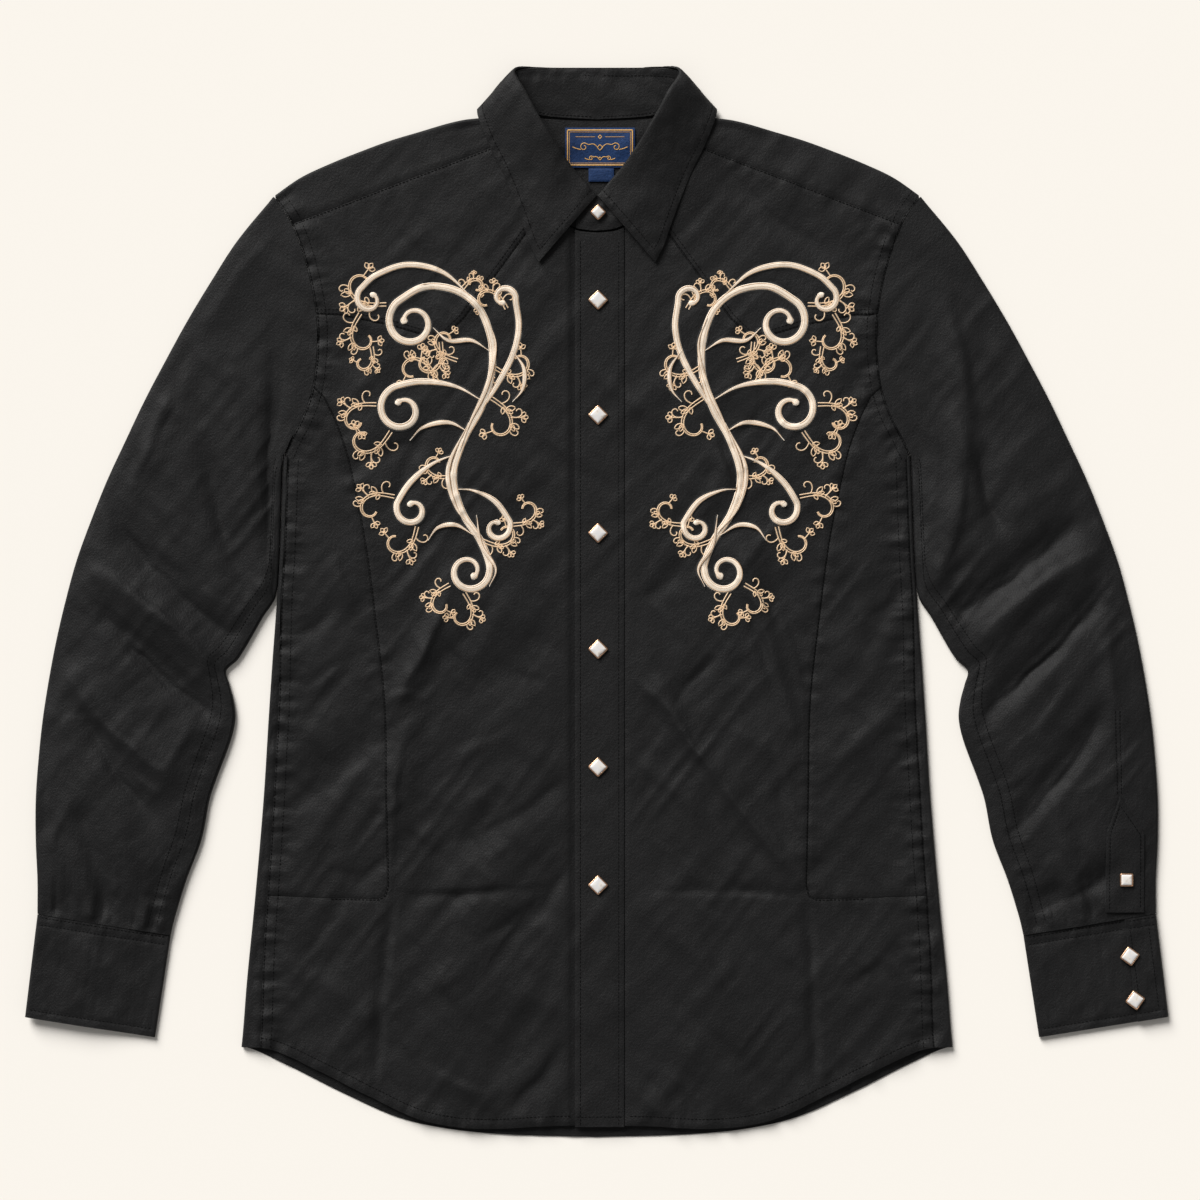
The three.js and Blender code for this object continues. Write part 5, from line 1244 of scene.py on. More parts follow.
def cuff_grid(side):
    path = []

    def flat(start, end, z, count):
        path.extend([(u, z) for u in np.linspace(start, end, count + 1)])

    def turn(edge, direction, z_from, z_to):
        radius = abs(z_to - z_from) / 2
        for k in range(1, ROLL_STEPS):
            angle = math.pi * k / ROLL_STEPS
            path.append((edge + direction * radius * math.sin(angle) / CUFF_WIDTH, mix(z_from, z_to, (1 - math.cos(angle)) / 2)))

    inner_edge = 1 - (CUFF_HIGH - CUFF_LOW + CUFF_CLOTH) / 2 / CUFF_WIDTH
    outer_edge = (CUFF_LAP - CUFF_LOW + CUFF_CLOTH) / 2 / CUFF_WIDTH
    flat(0.06, inner_edge, CUFF_HIGH, 60 if side > 0 else 16)
    turn(inner_edge, 1, CUFF_HIGH, CUFF_LOW)
    flat(inner_edge, outer_edge, CUFF_LOW, 60 if side < 0 else 16)
    turn(outer_edge, -1, CUFF_LOW, CUFF_LAP)
    flat(outer_edge, OVERLAP_SHARE, CUFF_LAP, 16)
    u, z = np.array(path).T
    v = np.linspace(0, 1, 54)[:, None]
    grid_u = np.broadcast_to(u, (len(v), len(u)))
    plan = cuff_point(grid_u, np.broadcast_to(v, grid_u.shape))
    upper = smooth(CUFF_LOW + 0.6, CUFF_HIGH, z)
    turned = CUFF_LAP + CUFF_LOW - z + wrist_lift(u) - (CUFF_LAP - CUFF_HIGH) * smooth(0.35, 0.95, u)
    height = np.broadcast_to(turned if side < 0 else z, grid_u.shape).copy()
    facing = (1 - upper) if side < 0 else upper
    height += cuff_relief(side, grid_u, np.broadcast_to(v, grid_u.shape)) * np.where(facing > 0.5, 1, 0.0)
    return np.concatenate([np.stack([plan[..., 0] * side, plan[..., 1]], -1), height[..., None]], -1)


sleeves, cuffs, bands = {}, {}, {}
for side, hand in ((-1, "right"), (1, "left")):
    outer, inner_face = about(sleeve_grid(side), SHELL, wrap=True)
    points, faces = grid_faces(outer, inner_face, wrap=True)
    sleeves[hand] = make(f"sleeve_{hand}_cloth", points, faces, black_cotton, [f"sleeve_{hand}"], "cloth")
    outer, inner_face = about(cuff_grid(side), CUFF_CLOTH - 0.15)
    points, faces = grid_faces(outer, inner_face)
    cuffs[hand] = make(f"cuff_{hand}_cloth", points, faces, black_cotton, [f"cuff_{hand}"], "cloth")
    tip_share = np.concatenate([np.zeros(26), np.linspace(0, 1, 14)[1:]])
    band_y = np.concatenate([np.linspace(BAND["low"], BAND["shoulder"], 26), mix(BAND["shoulder"], BAND["tip_y"], tip_share[26:])])
    centre = mix(BAND["x"], BAND["tip_x"], tip_share)
    half_width = BAND["half"] * np.maximum(1 - tip_share, 0.04)
    shares = np.linspace(-1, 1, 25)
    bx = centre[:, None] + shares[None, :] * half_width[:, None]
    by = np.broadcast_to(band_y[:, None], bx.shape)
    bz = band_height(side, bx, by)
    rim = np.minimum((1 - np.abs(shares))[None, :] * half_width[:, None], (band_y - BAND["low"] + 30)[:, None])
    shaped = CLOTH - 0.35 * np.exp(-((rim / 1.0) ** 2)) - 0.25 * np.exp(-(((rim - 3) / 1.0) ** 2))
    shaped = shaped + 0.2 * noise(by / 9, bx / 9, 71 + side)
    lower = np.stack([side * bx, by, bz], -1)
    upper = np.stack([side * bx, by, bz + side * shaped], -1)
    points, faces = grid_faces(upper, lower)
    name = f"sleeve_placket_{hand}"
    bands[hand] = make(f"{name}_cloth", points, faces, black_cotton, [name], "cloth")


# Collar
def bezier(p0, p1, p2, p3, t):
    s = 1 - t
    return p0 * s**3 + p1 * 3 * s * s * t + p2 * 3 * s * t * t + p3 * t**3


def collar_section(step):
    neck, top = (np.array([float(follow(STAND_ROWS, step, k)) for k in ks]) for ks in ((1, 2, 3), (4, 5, 6)))
    slope_x, slope_y = (float(follow(STAND_ROWS, step + 0.1, k) - follow(STAND_ROWS, step - 0.1, k)) for k in (4, 5))
    outward = unit(np.array([slope_y, -slope_x, 0.0]))
    angle = math.radians(float(follow(STAND_ROWS, step, 7)))
    turn = outward * math.cos(angle) + np.array([0, 0, math.sin(angle)])
    return neck, top, turn, float(follow(STAND_ROWS, step, 8))


def stand_row(step, lower):
    low = 1 - float(smooth(0.5, 1.6, step)) if lower else 0.0
    neck, top, turn, handle = collar_section(step)
    neck[2] -= STAND_END_DROP * low
    top[2] -= 3.4 * (1 - float(smooth(-0.4, 0, step))) if lower else 0
    rise = mix(neck, top, 0.35)
    rise[2] = mix(rise[2], neck[2] - 0.3, low)
    before = top - turn * (handle + low * max(step, 0) * 1.5)
    gap = FOLD_GAP + CORNER_GAP * math.exp(-(((step - CORNER_STEP) / 0.7) ** 2))
    end = top - turn * gap
    row = [bezier(neck, rise, before, end, t) for t in np.linspace(0, 0.94, 16)]
    return np.array([*row, end - turn * 0.4, end])


def leaf_row(step):
    _, top, turn, handle = collar_section(step)
    edge = np.array([float(follow(LEAF_EDGE, step, k)) for k in (1, 2, 3)])
    lift = float(follow(LEAF_EDGE, step, 4))
    start = top + turn * 0.4
    after = top + turn * handle
    before = mix(edge, top, 0.45)
    before[2] = edge[2] + lift
    return np.array([top, *[bezier(start, after, before, edge, t) for t in np.linspace(0, 1, 36) ** 1.1]])


STAND_STITCH = 6.5
collar_steps = np.linspace(0, LAST_COLLAR_STEP, 127)
stand_steps = [-1, -0.85, -0.7, -0.5, -0.3, -0.15, *collar_steps]
upper_rows = [stand_row(step, False) for step in stand_steps]
lower_rows = [stand_row(step, True) * np.array([-1, 1, 1]) for step in stand_steps[:-1]]
outer, inner_face = about([*upper_rows, *lower_rows[::-1]], STAND_CLOTH)
stand_normals = unit(outer - inner_face)
stand_normals = stand_normals * np.where(stand_normals[..., 2:] < 0, -1, 1)
stand_face = (outer + inner_face) / 2 + stand_normals * STAND_CLOTH / 2
down = np.linalg.norm(stand_face - stand_face[:, -1:], axis=-1)
round_ = np.cumsum(np.linalg.norm(np.diff(stand_face[:, 6], axis=0, prepend=stand_face[:1, 6]), axis=1))[:, None]
stand_relief = 0.7 * noise(round_ / 5.5, down / 14, 85) * np.exp(-(((down - 5) / 6) ** 2)) * smooth(0, 4, down)
stand_relief += 1.1 * noise((round_ + down) / 15, (round_ - down) / 30, 86) * smooth(2, 12, down) * smooth(0, 8, down[:, :1] - down)
stand_relief = (stand_relief - 0.3 * np.exp(-(((down - STAND_STITCH) / 1.3) ** 2)))[..., None] * stand_normals
stand_face = stand_face + stand_relief
facing_out = unit(outer - inner_face)[..., 2:] > 0
outer = outer + np.where(facing_out, stand_relief, 0)
inner_face = inner_face + np.where(facing_out, 0, stand_relief)
points, faces = grid_faces(outer, inner_face)
collar_stand = make("collar_stand_cloth", points, faces, collar_cotton, ["collar_stand"], "collar_cloth")

leaf_rows = [leaf_row(step) for step in collar_steps]
leaf = np.array([*leaf_rows, *[row * np.array([-1, 1, 1]) for row in leaf_rows[:-1]][::-1]])
from_edge = np.linalg.norm(leaf - leaf[:, -1:], axis=-1)
front_edge = np.linalg.norm(leaf - leaf[:1], axis=-1)
other_edge = np.linalg.norm(leaf - leaf[-1:], axis=-1)
near = np.minimum(from_edge, np.minimum(front_edge, other_edge))
outer, inner_face = about(leaf, LEAF_CLOTH)
dent = 0.32 * np.exp(-(((near - 6.0) / 1.2) ** 2)) + 0.35 * np.exp(-((near / 0.9) ** 2))
ripple = 0.6 * noise(leaf[..., 0] / 18, leaf[..., 1] / 22, 81) + 0.4 * noise(leaf[..., 0] / 7, leaf[..., 1] / 9, 82)
edge_arc = np.cumsum(np.linalg.norm(np.diff(leaf[:, -1], axis=0, prepend=leaf[:1, -1]), axis=1))[:, None]
ripple += 0.95 * noise(edge_arc / 3.6, from_edge / 12, 83) * np.exp(-(((from_edge - 4) / 4) ** 2))
tip_edge = np.minimum(front_edge, other_edge)
ripple += 0.85 * noise(from_edge / 3.6, tip_edge / 12, 84) * np.exp(-(((tip_edge - 4) / 4) ** 2))
outward = unit(outer - inner_face)
relief = ((ripple * smooth(0, 4, near) - dent) * 0.8)[..., None] * (outward[..., 2:] > 0.2)
leaf_face = outer + outward * relief
leaf_normals = outward
points, faces = grid_faces(leaf_face, inner_face)
collar_leaf = make("collar_leaf_cloth", points, faces, collar_cotton, ["collar_leaf"], "collar_cloth")


# Label and size tab, bare of words
def tab(name, spec, thickness):
    u, v = np.meshgrid(np.linspace(-0.5, 0.5, 30), np.linspace(-0.5, 0.5, 20))
    x, y = spec["x"] + u * spec["width"], spec["y"] + v * spec["height"]
    base = yoke_floor(x, y) + CLOTH + LAID + 0.1
    edge = np.minimum((0.5 - np.abs(u)) * spec["width"], (0.5 - np.abs(v)) * spec["height"])
    top = base + thickness - 0.4 * np.exp(-((edge / 0.8) ** 2)) + 0.1 * noise(x / 7, y / 7, 91)
    points, faces = grid_faces(np.stack([x, y, top], -1), np.stack([x, y, base], -1))
    return make(f"{name}_cloth", points, faces, navy_tab, [name], "tab_cloth")


label = tab("label", LABEL, 1.0)
size_tab = tab("size_tab", SIZE_TAB, 1.0)


# Snaps: a bevelled metal square with a pearl inlay
def rounded_square(half, corner, count=5):
    angles = np.concatenate([np.linspace(q, q + 1, count) for q in range(4)]) * math.pi / 2
    quarter = np.repeat(np.arange(4), count)
    cx = (half - corner) * np.array([1, -1, -1, 1])[quarter]
    cy = (half - corner) * np.array([1, 1, -1, -1])[quarter]
    return np.stack([cx + corner * np.cos(angles), cy + corner * np.sin(angles)], 1)


def stacked(profile, half, corner):
    """Closed solid from rounded squares at (inset, height)."""
    rings = []
    for drawn_in, z in profile:
        ring = rounded_square(half - drawn_in, max(corner - drawn_in * 0.6, 0.3))
        rings.append(np.column_stack([ring, np.full(len(ring), z)]))
    count = len(rings[0])
    points = np.concatenate([*rings, [[0, 0, profile[0][1]]], [[0, 0, profile[-1][1]]]])
    i, j = np.meshgrid(np.arange(len(rings) - 1), np.arange(count), indexing="ij")
    i, j = i.ravel(), j.ravel()
    n = (j + 1) % count
    quads = np.stack([i * count + j, i * count + n, (i + 1) * count + n, (i + 1) * count + j], 1)
    k = np.arange(count)
    low, high = len(points) - 2, len(points) - 1
    last = (len(rings) - 1) * count
    fans = np.concatenate([
        np.stack([(k + 1) % count, k, np.full(count, low)], 1),
        np.stack([last + k, last + (k + 1) % count, np.full(count, high)], 1),
    ])
    return points, quads, fans


BEZEL = [(0.2, 0.0), (0.0, 0.25), (0.0, 0.9), (0.15, 1.3), (0.4, 1.62), (0.65, 1.75), (0.9, 1.75), (1.05, 1.6), (1.1, 1.3), (1.2, 1.1)]
PEARL = [(1.22, 1.15), (1.16, 1.5), (1.4, 1.8), (1.9, 2.1), (2.7, 2.28), (4.2, 2.36)]


def snap(name, side, x, y, z, turn=0.0, tilt=0.0, under=False, diamond=True):
    spin = turn + (math.pi / 4 if diamond else 0.0)
    c, s = math.cos(spin), math.sin(spin)
    for part, profile, material, slot in (("bezel", BEZEL, snap_copper, "snap_metal"), ("pearl", PEARL, snap_pearl, "pearl")):
        points, quads, fans = stacked(profile, side / 2, 1.3)
        px_, py_, pz_ = points[:, 0] * c - points[:, 1] * s, points[:, 0] * s + points[:, 1] * c, points[:, 2]
        if under:
            px_, pz_ = -px_, -pz_
        pz_ = pz_ + py_ * math.tan(tilt)
        placed = np.stack([px_ + x, py_ + y, pz_ + z], 1)
        make(f"{name}_{part}_detail", placed, [quads, fans], material, [f"{name}_{part}"], slot, sharp=38)


snap("front_snap_1", STAND_SNAP["side"], STAND_SNAP["x"], STAND_SNAP["y"], STAND_SNAP["z"], tilt=STAND_SNAP["tilt"])
for k, y in enumerate(FRONT_SNAP_Y):
    z = float(body_top(np.array([SNAP_X]), np.array([y]))[0]) + PLACKET_RISE + 0.3
    snap(f"front_snap_{k + 2}", SNAP_SIDE, SNAP_X, y, z)
wrist_turn = math.atan2(
    CUFF_CORNERS["top_inner"][1] - CUFF_CORNERS["top_outer"][1],
    CUFF_CORNERS["top_outer"][0] - CUFF_CORNERS["top_inner"][0],
)
for side, hand in ((-1, "right"), (1, "left")):
    for k, (x, y) in enumerate(CUFF_SNAPS):
        z = SNAP_LIFT - 0.3 if side < 0 else CUFF_LAP + CUFF_CLOTH / 2 + 0.3
        snap(f"cuff_{hand}_snap_{k + 1}", SNAP_SIDE, side * x, y, z, turn=-side * wrist_turn, under=side < 0)
    x, y = SLEEVE_SNAP
    z = float(band_height(side, np.array([x]), np.array([y]))[0]) + side * (CLOTH + 0.4)
    snap(f"sleeve_{hand}_snap", SLEEVE_SNAP_SIDE, side * x, y, z, under=side < 0, diamond=False)


# Sewing and embroidery
def tube(path, widths, heights, sides=8):
    """Points and quads of a flattened thread that follows a path."""
    path = np.asarray(path, dtype=float)
    along = unit(np.gradient(path, axis=0))
    across = unit(np.stack([-along[:, 1], along[:, 0], np.zeros(len(path))], 1))
    up = np.cross(along, across)
    angles = np.linspace(0, 2 * np.pi, sides, endpoint=False)
    rings = path[:, None] + across[:, None] * (np.cos(angles)[None, :, None] * np.asarray(widths)[:, None, None] / 2)
    rings = rings + up[:, None] * (np.sin(angles)[None, :, None] * np.asarray(heights)[:, None, None] / 2)
    count = len(path)
    i, j = np.meshgrid(np.arange(count - 1), np.arange(sides), indexing="ij")
    i, j = i.ravel(), j.ravel()
    n = (j + 1) % sides
    quads = np.stack([i * sides + j, i * sides + n, (i + 1) * sides + n, (i + 1) * sides + j], 1)
    points = np.concatenate([rings.reshape(-1, 3), path[:1], path[-1:]])
    k = np.arange(sides)
    last = (count - 1) * sides
    fans = np.concatenate([
        np.stack([(k + 1) % sides, k, np.full(sides, count * sides)], 1),
        np.stack([last + k, last + (k + 1) % sides, np.full(sides, count * sides + 1)], 1),
    ])
    return points, quads, fans


class Threads:
    """Collects many threads into one mesh."""

    def __init__(self):
        self.points, self.quads, self.fans, self.count = [], [], [], 0

    def add(self, path, widths, heights, sides=8):
        points, quads, fans = tube(path, widths, heights, sides)
        self.points.append(points)
        self.quads.append(quads + self.count)
        self.fans.append(fans + self.count)
        self.count += len(points)

    def object(self, name, material, slot="cloth"):
        faces = [np.concatenate(self.quads), np.concatenate(self.fans)]
        return make(name, np.concatenate(self.points), faces, material, (), slot, sharp=80)


def spaced(points, spacing):
    """Points at even distances along a line."""
    p = np.asarray(points, dtype=float)
    gone = np.concatenate([[0], np.cumsum(np.hypot(*np.diff(p[:, :2], axis=0).T))])
    count = max(2, int(round(gone[-1] / spacing)) + 1)
    at = np.linspace(0, gone[-1], count)
    return np.stack([np.interp(at, gone, p[:, k]) for k in range(p.shape[1])], 1)


def shifted(line, amount):
    """A line moved sideways, to its left for a positive amount."""
    p = np.asarray(line, dtype=float)
    along = unit(np.gradient(p, axis=0))
    return p + amount * np.stack([-along[:, 1], along[:, 0]], 1)


STITCH_PITCH = 3.0
STITCH_LENGTH = 2.2
STITCH_WIDTH = 0.75


def stitch_path(threads, path, normal=(0, 0, 1)):
    """A row of single stitches along a path in space."""
    path = np.asarray(path, dtype=float)
    normal = np.broadcast_to(np.asarray(normal, dtype=float), path.shape)
    gone = np.concatenate([[0], np.cumsum(np.linalg.norm(np.diff(path, axis=0), axis=1))])
    starts = np.arange(0.4, gone[-1] - STITCH_LENGTH, STITCH_PITCH)
    for begin in starts:
        at = begin + np.linspace(0, STITCH_LENGTH, 3)
        points = np.stack([np.interp(at, gone, path[:, k]) for k in range(3)], 1)
        lift = np.stack([np.interp(at, gone, normal[:, k]) for k in range(3)], 1)
        points = points + lift * STITCH_LIFTS[:, None]
        threads.add(points, STITCH_WIDTHS, STITCH_HEIGHTS, 4)


STITCH_LIFTS = np.array([-0.05, 0.16, -0.05])
STITCH_WIDTHS = [0.45, STITCH_WIDTH, 0.45]
STITCH_HEIGHTS = [0.3, 0.4, 0.3]


def stitch_run(threads, line, height):
    """A row of single stitches along a plan line on a surface."""
    p = spaced(line, 1.0)
    stitch_path(threads, np.column_stack([p, height(p[:, 0], p[:, 1])]))


for side, hand in ((-1, "right"), (1, "left")):
    sewing = Threads()
    runs = [
        (armhole_line, (1.2, 7.8)),
        (side_line, (1.0, 8.6)),
        (princess_line, (0.8,)),
        (shoulder_line, (-1.0,)),
        (hem_line, (7.8,)),
        (yoke_line, (-1.0, -4.0)),
    ]
    for line, offsets in runs:
        for offset in offsets:
            moved = shifted(line, offset)
            moved[:, 0] *= side
            moved = moved[np.abs(moved[:, 0] - 2) > 22]
            stitch_run(sewing, moved, front_top)
    sewing.object(f"front_{hand}_stitches", black_thread)

sewing = Threads()
for x in (PLACKET_LEFT_X + 4.2, PLACKET_SEAM_X - 4.2):
    line = [(x, y) for y in np.linspace(PLACKET_HEM_Y + 1, 284, 300)]
    stitch_run(sewing, line, lambda x, y: placket_top(x, y) - 0.18)
line = [(x, PLACKET_HEM_Y + 7.8) for x in np.linspace(PLACKET_LEFT_X + 1, PLACKET_SEAM_X - 1, 20)]
stitch_run(sewing, line, lambda x, y: placket_top(x, y))
sewing.object("placket_stitches", black_thread)

for side, hand in ((-1, "right"), (1, "left")):
    sewing = Threads()
    along = np.linspace(0.05, 0.985, 420)
    for seam_in in (SLEEVE_SEAM_IN - 1.6, SLEEVE_SEAM_IN + 5.6):
        across = 1 - seam_in / sleeve_width(along)
        x, y = sleeve_plan(across, along)
        z = sleeve_top(side, x, y, across, along) + sleeve_lift(side, x, y, across, along)
        stitch_path(sewing, np.column_stack([x * side, y, z]))
    if side > 0:
        for offset in (-1.7, 1.7):
            line = spaced(shifted(OPENING_SEAM, offset), 1.0)
            across, along = sleeve_place(line[:, 0], line[:, 1])
            z = sleeve_top(side, line[:, 0], line[:, 1], across, along)
            stitch_path(sewing, np.column_stack([line, z]))
    sewing.object(f"sleeve_{hand}_stitches", black_thread)

    sewing = Threads()
    across = np.linspace(0.02, 0.98, 120)
    laps = [(0.02, OVERLAP_SHARE - 0.012), (OVERLAP_SHARE + 0.02, 0.98)] if side > 0 else [(0.03, 0.98)]
    for down in (1.7, CUFF_TOP_STITCH, CUFF_LENGTH - CUFF_LOW_STITCH):
        for low, high in laps:
            across = np.linspace(low, high, 100)
            stitch_path(sewing, cuff_face(side, across, down / CUFF_LENGTH))
    if side > 0:
        for across in (OVERLAP_SHARE - 0.03, 0.07):
            stitch_path(sewing, cuff_face(side, across, np.linspace(0.11, 0.9, 90)))
    sewing.object(f"cuff_{hand}_stitches", black_thread)

    sewing = Threads()
    low, shoulder, half = BAND["low"] + 2, BAND["shoulder"], BAND["half"] - 3
    outline = [
        (BAND["x"] - half, low), (BAND["x"] - half, shoulder - 1), (BAND["tip_x"], BAND["tip_y"] - 7),
        (BAND["x"] + half, shoulder - 1), (BAND["x"] + half, low),
    ]
    line = spaced(outline, 1.0)
    z = band_height(side, line[:, 0], line[:, 1]) + side * (CLOTH - 0.15)
    stitch_path(sewing, np.column_stack([line[:, 0] * side, line[:, 1], z]), (0, 0, side))
    sewing.object(f"sleeve_placket_{hand}_stitches", black_thread)


def at_distance(points, distances, wanted):
    """The first place along a row of points with the wanted distance from its end."""
    k = int(np.argmax(distances >= wanted))
    share = (wanted - distances[k - 1]) / max(distances[k] - distances[k - 1], 1e-6)
    return mix(points[k - 1], points[k], share)


EDGE_STITCH = 6.0
sewing = Threads()
for mirror in (1, -1):
    face, normals, count = leaf_face, leaf_normals, len(collar_steps)
    if mirror < 0:
        face, normals = face[::-1], normals[::-1]
    end_gone = np.linalg.norm(face - face[:, -1:], axis=-1)
    tip_gone = np.linalg.norm(face - face[:1], axis=-1)
    path, lift = [], []
    for column in range(3, face.shape[1]):
        if end_gone[0, column] > EDGE_STITCH:
            path.append(at_distance(face[:count, column], tip_gone[:count, column], EDGE_STITCH))
            lift.append(at_distance(normals[:count, column], tip_gone[:count, column], EDGE_STITCH))
    for row in range(1, count):
        place_ = at_distance(face[row, ::-1], end_gone[row, ::-1], EDGE_STITCH)
        if np.linalg.norm(place_ - face[0, -1]) > EDGE_STITCH * 1.2 and np.min(np.linalg.norm(face[0] - place_, axis=1)) > EDGE_STITCH - 0.4:
            path.append(place_)
            lift.append(at_distance(normals[row, ::-1], end_gone[row, ::-1], EDGE_STITCH))
    stitch_path(sewing, path, lift)
sewing.object("collar_leaf_stitches", black_thread, "collar_cloth")

sewing = Threads()
for wanted in (STAND_STITCH, -1.8):
    path, lift = [], []
    for row in range(30, len(stand_steps) - 1):
        gone = np.linalg.norm(stand_face[row] - stand_face[row, -1], axis=-1)[::-1]
        reach = wanted if wanted > 0 else gone[-1] + wanted
        path.append(at_distance(stand_face[row, ::-1], gone, reach))
        lift.append(at_distance(stand_normals[row, ::-1], gone, reach))
    path, lift = np.array(path), np.array(lift)
    for flip in (1, -1):
        turned = np.array([flip, 1, 1])
        stitch_path(sewing, path * turned, lift * turned)
sewing.object("collar_stand_stitches", black_thread, "collar_cloth")

# Embroidery: scrolls in cream satin stitch among tan outline vines, with a dark band round each stroke and vine that is
# painted shadow, and tan lines along each scroll that are painted shade.
# It is drawn for one half of the shirt and mirrored.
def spiral(cx, cy, radius, start, turn, end_share=0.3):
    """Points of a scroll that winds in from its outer radius, with angles in degrees."""
    count = max(4, int(abs(turn) / 24))
    t = np.linspace(0, 1, count + 1)
    angle = np.radians(start + turn * t)
    r = radius * mix(1.0, end_share, t)
    return [(cx + a, cy + b) for a, b in zip(r * np.cos(angle), r * np.sin(angle))]


def through(points, spacing):
    """A smooth path through points, with even steps."""
    p = np.asarray(points, dtype=float)
    gone = np.concatenate([[0], np.cumsum(np.sqrt(np.hypot(*np.diff(p, axis=0).T)))])
    table = np.column_stack([gone, p])
    at = np.linspace(0, gone[-1], len(p) * 12)
    return spaced(np.column_stack([follow(table, at, 1), follow(table, at, 2)]), spacing)


def reverse(points):
    return list(points)[::-1]


# An end is drawn to a point or curls into a round knob.
POINT, CURL = 0.14, 0.55
SCROLLS = [
    # points, widest, start and end kind, share of the length that tapers at the start and at the end
    ([*reverse(spiral(144, 218, 20, 60, -430)), (134, 246), (110, 243), (92, 229), (83, 206), (82, 180),
      (90, 152), (104, 126), (112, 98), (105, 70), (91, 48), (84, 30), *spiral(100, 24, 16, 190, 420)],
     5.6, CURL, CURL, 0.12, 0.14),
    ([*reverse(spiral(73, 237, 10, 195, -310)), (61, 214), (66, 192), (80, 166), (98, 139), (109, 110)],
     4.8, CURL, POINT, 0.14, 0.5),
    ([(88, 156), (110, 168), (136, 172), *spiral(152, 150, 19, 80, -400)], 5.2, POINT, CURL, 0.35, 0.18),
    ([(108, 116), (128, 108), (145, 94), *spiral(144, 72, 13, 30, -350)], 4.8, POINT, CURL, 0.4, 0.2),
    ([(111, 88), (97, 87), (80, 79), *spiral(78, 58, 11, 150, 340)], 4.4, POINT, CURL, 0.4, 0.2),
    ([(96, 236), (120, 257), (148, 263), (172, 255), *spiral(177, 236, 11, 50, -320)], 4.6, POINT, CURL, 0.35, 0.18),
    ([(84, 196), (98, 204), (116, 204), (128, 214)], 3.8, POINT, POINT, 0.5, 0.5),
    ([(99, 132), (116, 140), (136, 136), (146, 126)], 3.8, POINT, POINT, 0.5, 0.5),
    ([(96, 52), (110, 60), (124, 58), (132, 48)], 3.6, POINT, POINT, 0.5, 0.5),
    ([(66, 196), (57, 182), (58, 166), (66, 156)], 3.4, POINT, POINT, 0.5, 0.5),
    ([(86, 222), (79, 200), (86, 168), (99, 140), (107, 118)], 3.4, POINT, POINT, 0.5, 0.5),
    ([(100, 140), (116, 104), (110, 74), (94, 54)], 3.6, POINT, POINT, 0.5, 0.5),
    ([(94, 68), (90, 44), (79, 26), (84, 12)], 3.2, POINT, POINT, 0.5, 0.5),
]
SPRIGS = [
    # u, y, angle, size, hand
    [163, 232, 0, 24, 1], [184, 226, -60, 20, -1], [122, 204, -95, 19, 1], [82, 184, 210, 20, -1],
    [84, 160, 215, 22, 1], [124, 171, 62, 21, -1], [171, 154, 0, 20, -1], [160, 134, -55, 22, 1],
    [157, 82, 10, 20, -1], [140, 60, -75, 20, 1], [111, 98, -5, 17, 1], [90, 48, 200, 18, -1],
    [104, 8, -120, 18, 1], [114, 14, -30, 17, -1], [68, 60, 175, 17, -1], [70, 228, 60, 17, -1],
    [108, 188, 20, 18, 1], [106, 243, 130, 12, 1], [176, 200, -100, 14, 1],
]
SATIN_STEP = 0.8
VINE_WIDTH = 0.95


def on_front(plan, side, lift):
    x = plan[:, 0] * side
    return np.column_stack([x, plan[:, 1], front_top(x, plan[:, 1]) + lift])


def leaf_loop(x, y, heading, length, width):
    """Closed outline of a pointed leaf."""
    t = np.linspace(0, 1, 9)
    c, s = math.cos(heading), math.sin(heading)
    half = width * np.sin(np.pi * t) ** 0.8
    along = np.concatenate([t, t[::-1]]) * length
    across = np.concatenate([half, -half[::-1]])
    return np.column_stack([x + along * c - across * s, y + along * s + across * c])


def curl_line(x, y, heading, length, winding):
    """A single line that winds into a small curl."""
    t = np.linspace(0, 1, 24)
    angle = heading + winding * t**1.6
    step = length / len(t) * (1.25 - 0.5 * t)
    return np.column_stack([x + np.cumsum(np.cos(angle) * step), y + np.cumsum(np.sin(angle) * step)])


def sprig(u, y, angle, size, hand):
    """Outline paths of a curling shoot with side curls, leaves and three-lobed tips."""
    t = np.linspace(0, 1, 44)
    heading = math.radians(angle) + hand * (5.2 * t**2.0 - 0.7 * t)
    step = 2.5 * size / len(t)
    px_ = u + np.cumsum(np.cos(heading)) * step
    py_ = y + np.cumsum(np.sin(heading)) * step
    vine = np.column_stack([px_, py_])
    half = (1.3 - 0.9 * t)[:, None]
    paths = [vine + half * (shifted(vine, 1) - vine), vine - half * (shifted(vine, 1) - vine)]
    for at, turn, length, winding in ((7, -0.9, 0.95, -4.6), (17, -0.8, 0.85, -4.8), (26, -0.9, 0.6, -4.4)):
        paths.append(curl_line(px_[at], py_[at], heading[at] + turn * hand, size * length, winding * hand))
    for at, turn, share in ((12, -1.0, 0.36), (12, -0.3, 0.3), (22, -1.1, 0.34), (22, -0.4, 0.28), (10, 1.0, 0.26)):
        a = heading[at] + turn * hand
        paths.append(leaf_loop(px_[at], py_[at], a, size * share, size * share * 0.25))
    for at in (0.42, 0.9):
        tip = int(at * 43)
        out = heading[tip] - 1.25 * hand
        reach = size * (0.42 if at < 0.8 else 0.3)
        cx, cy = px_[tip] + reach * math.cos(out), py_[tip] + reach * math.sin(out)
        for lobe in (-1.1, 0, 1.1):
            paths.append(leaf_loop(cx, cy, out + lobe, size * 0.22, size * 0.075))
        paths.append(np.column_stack([np.linspace(px_[tip], cx, 6), np.linspace(py_[tip], cy, 6)]))
    return [spaced(path, 1.35) for path in paths]


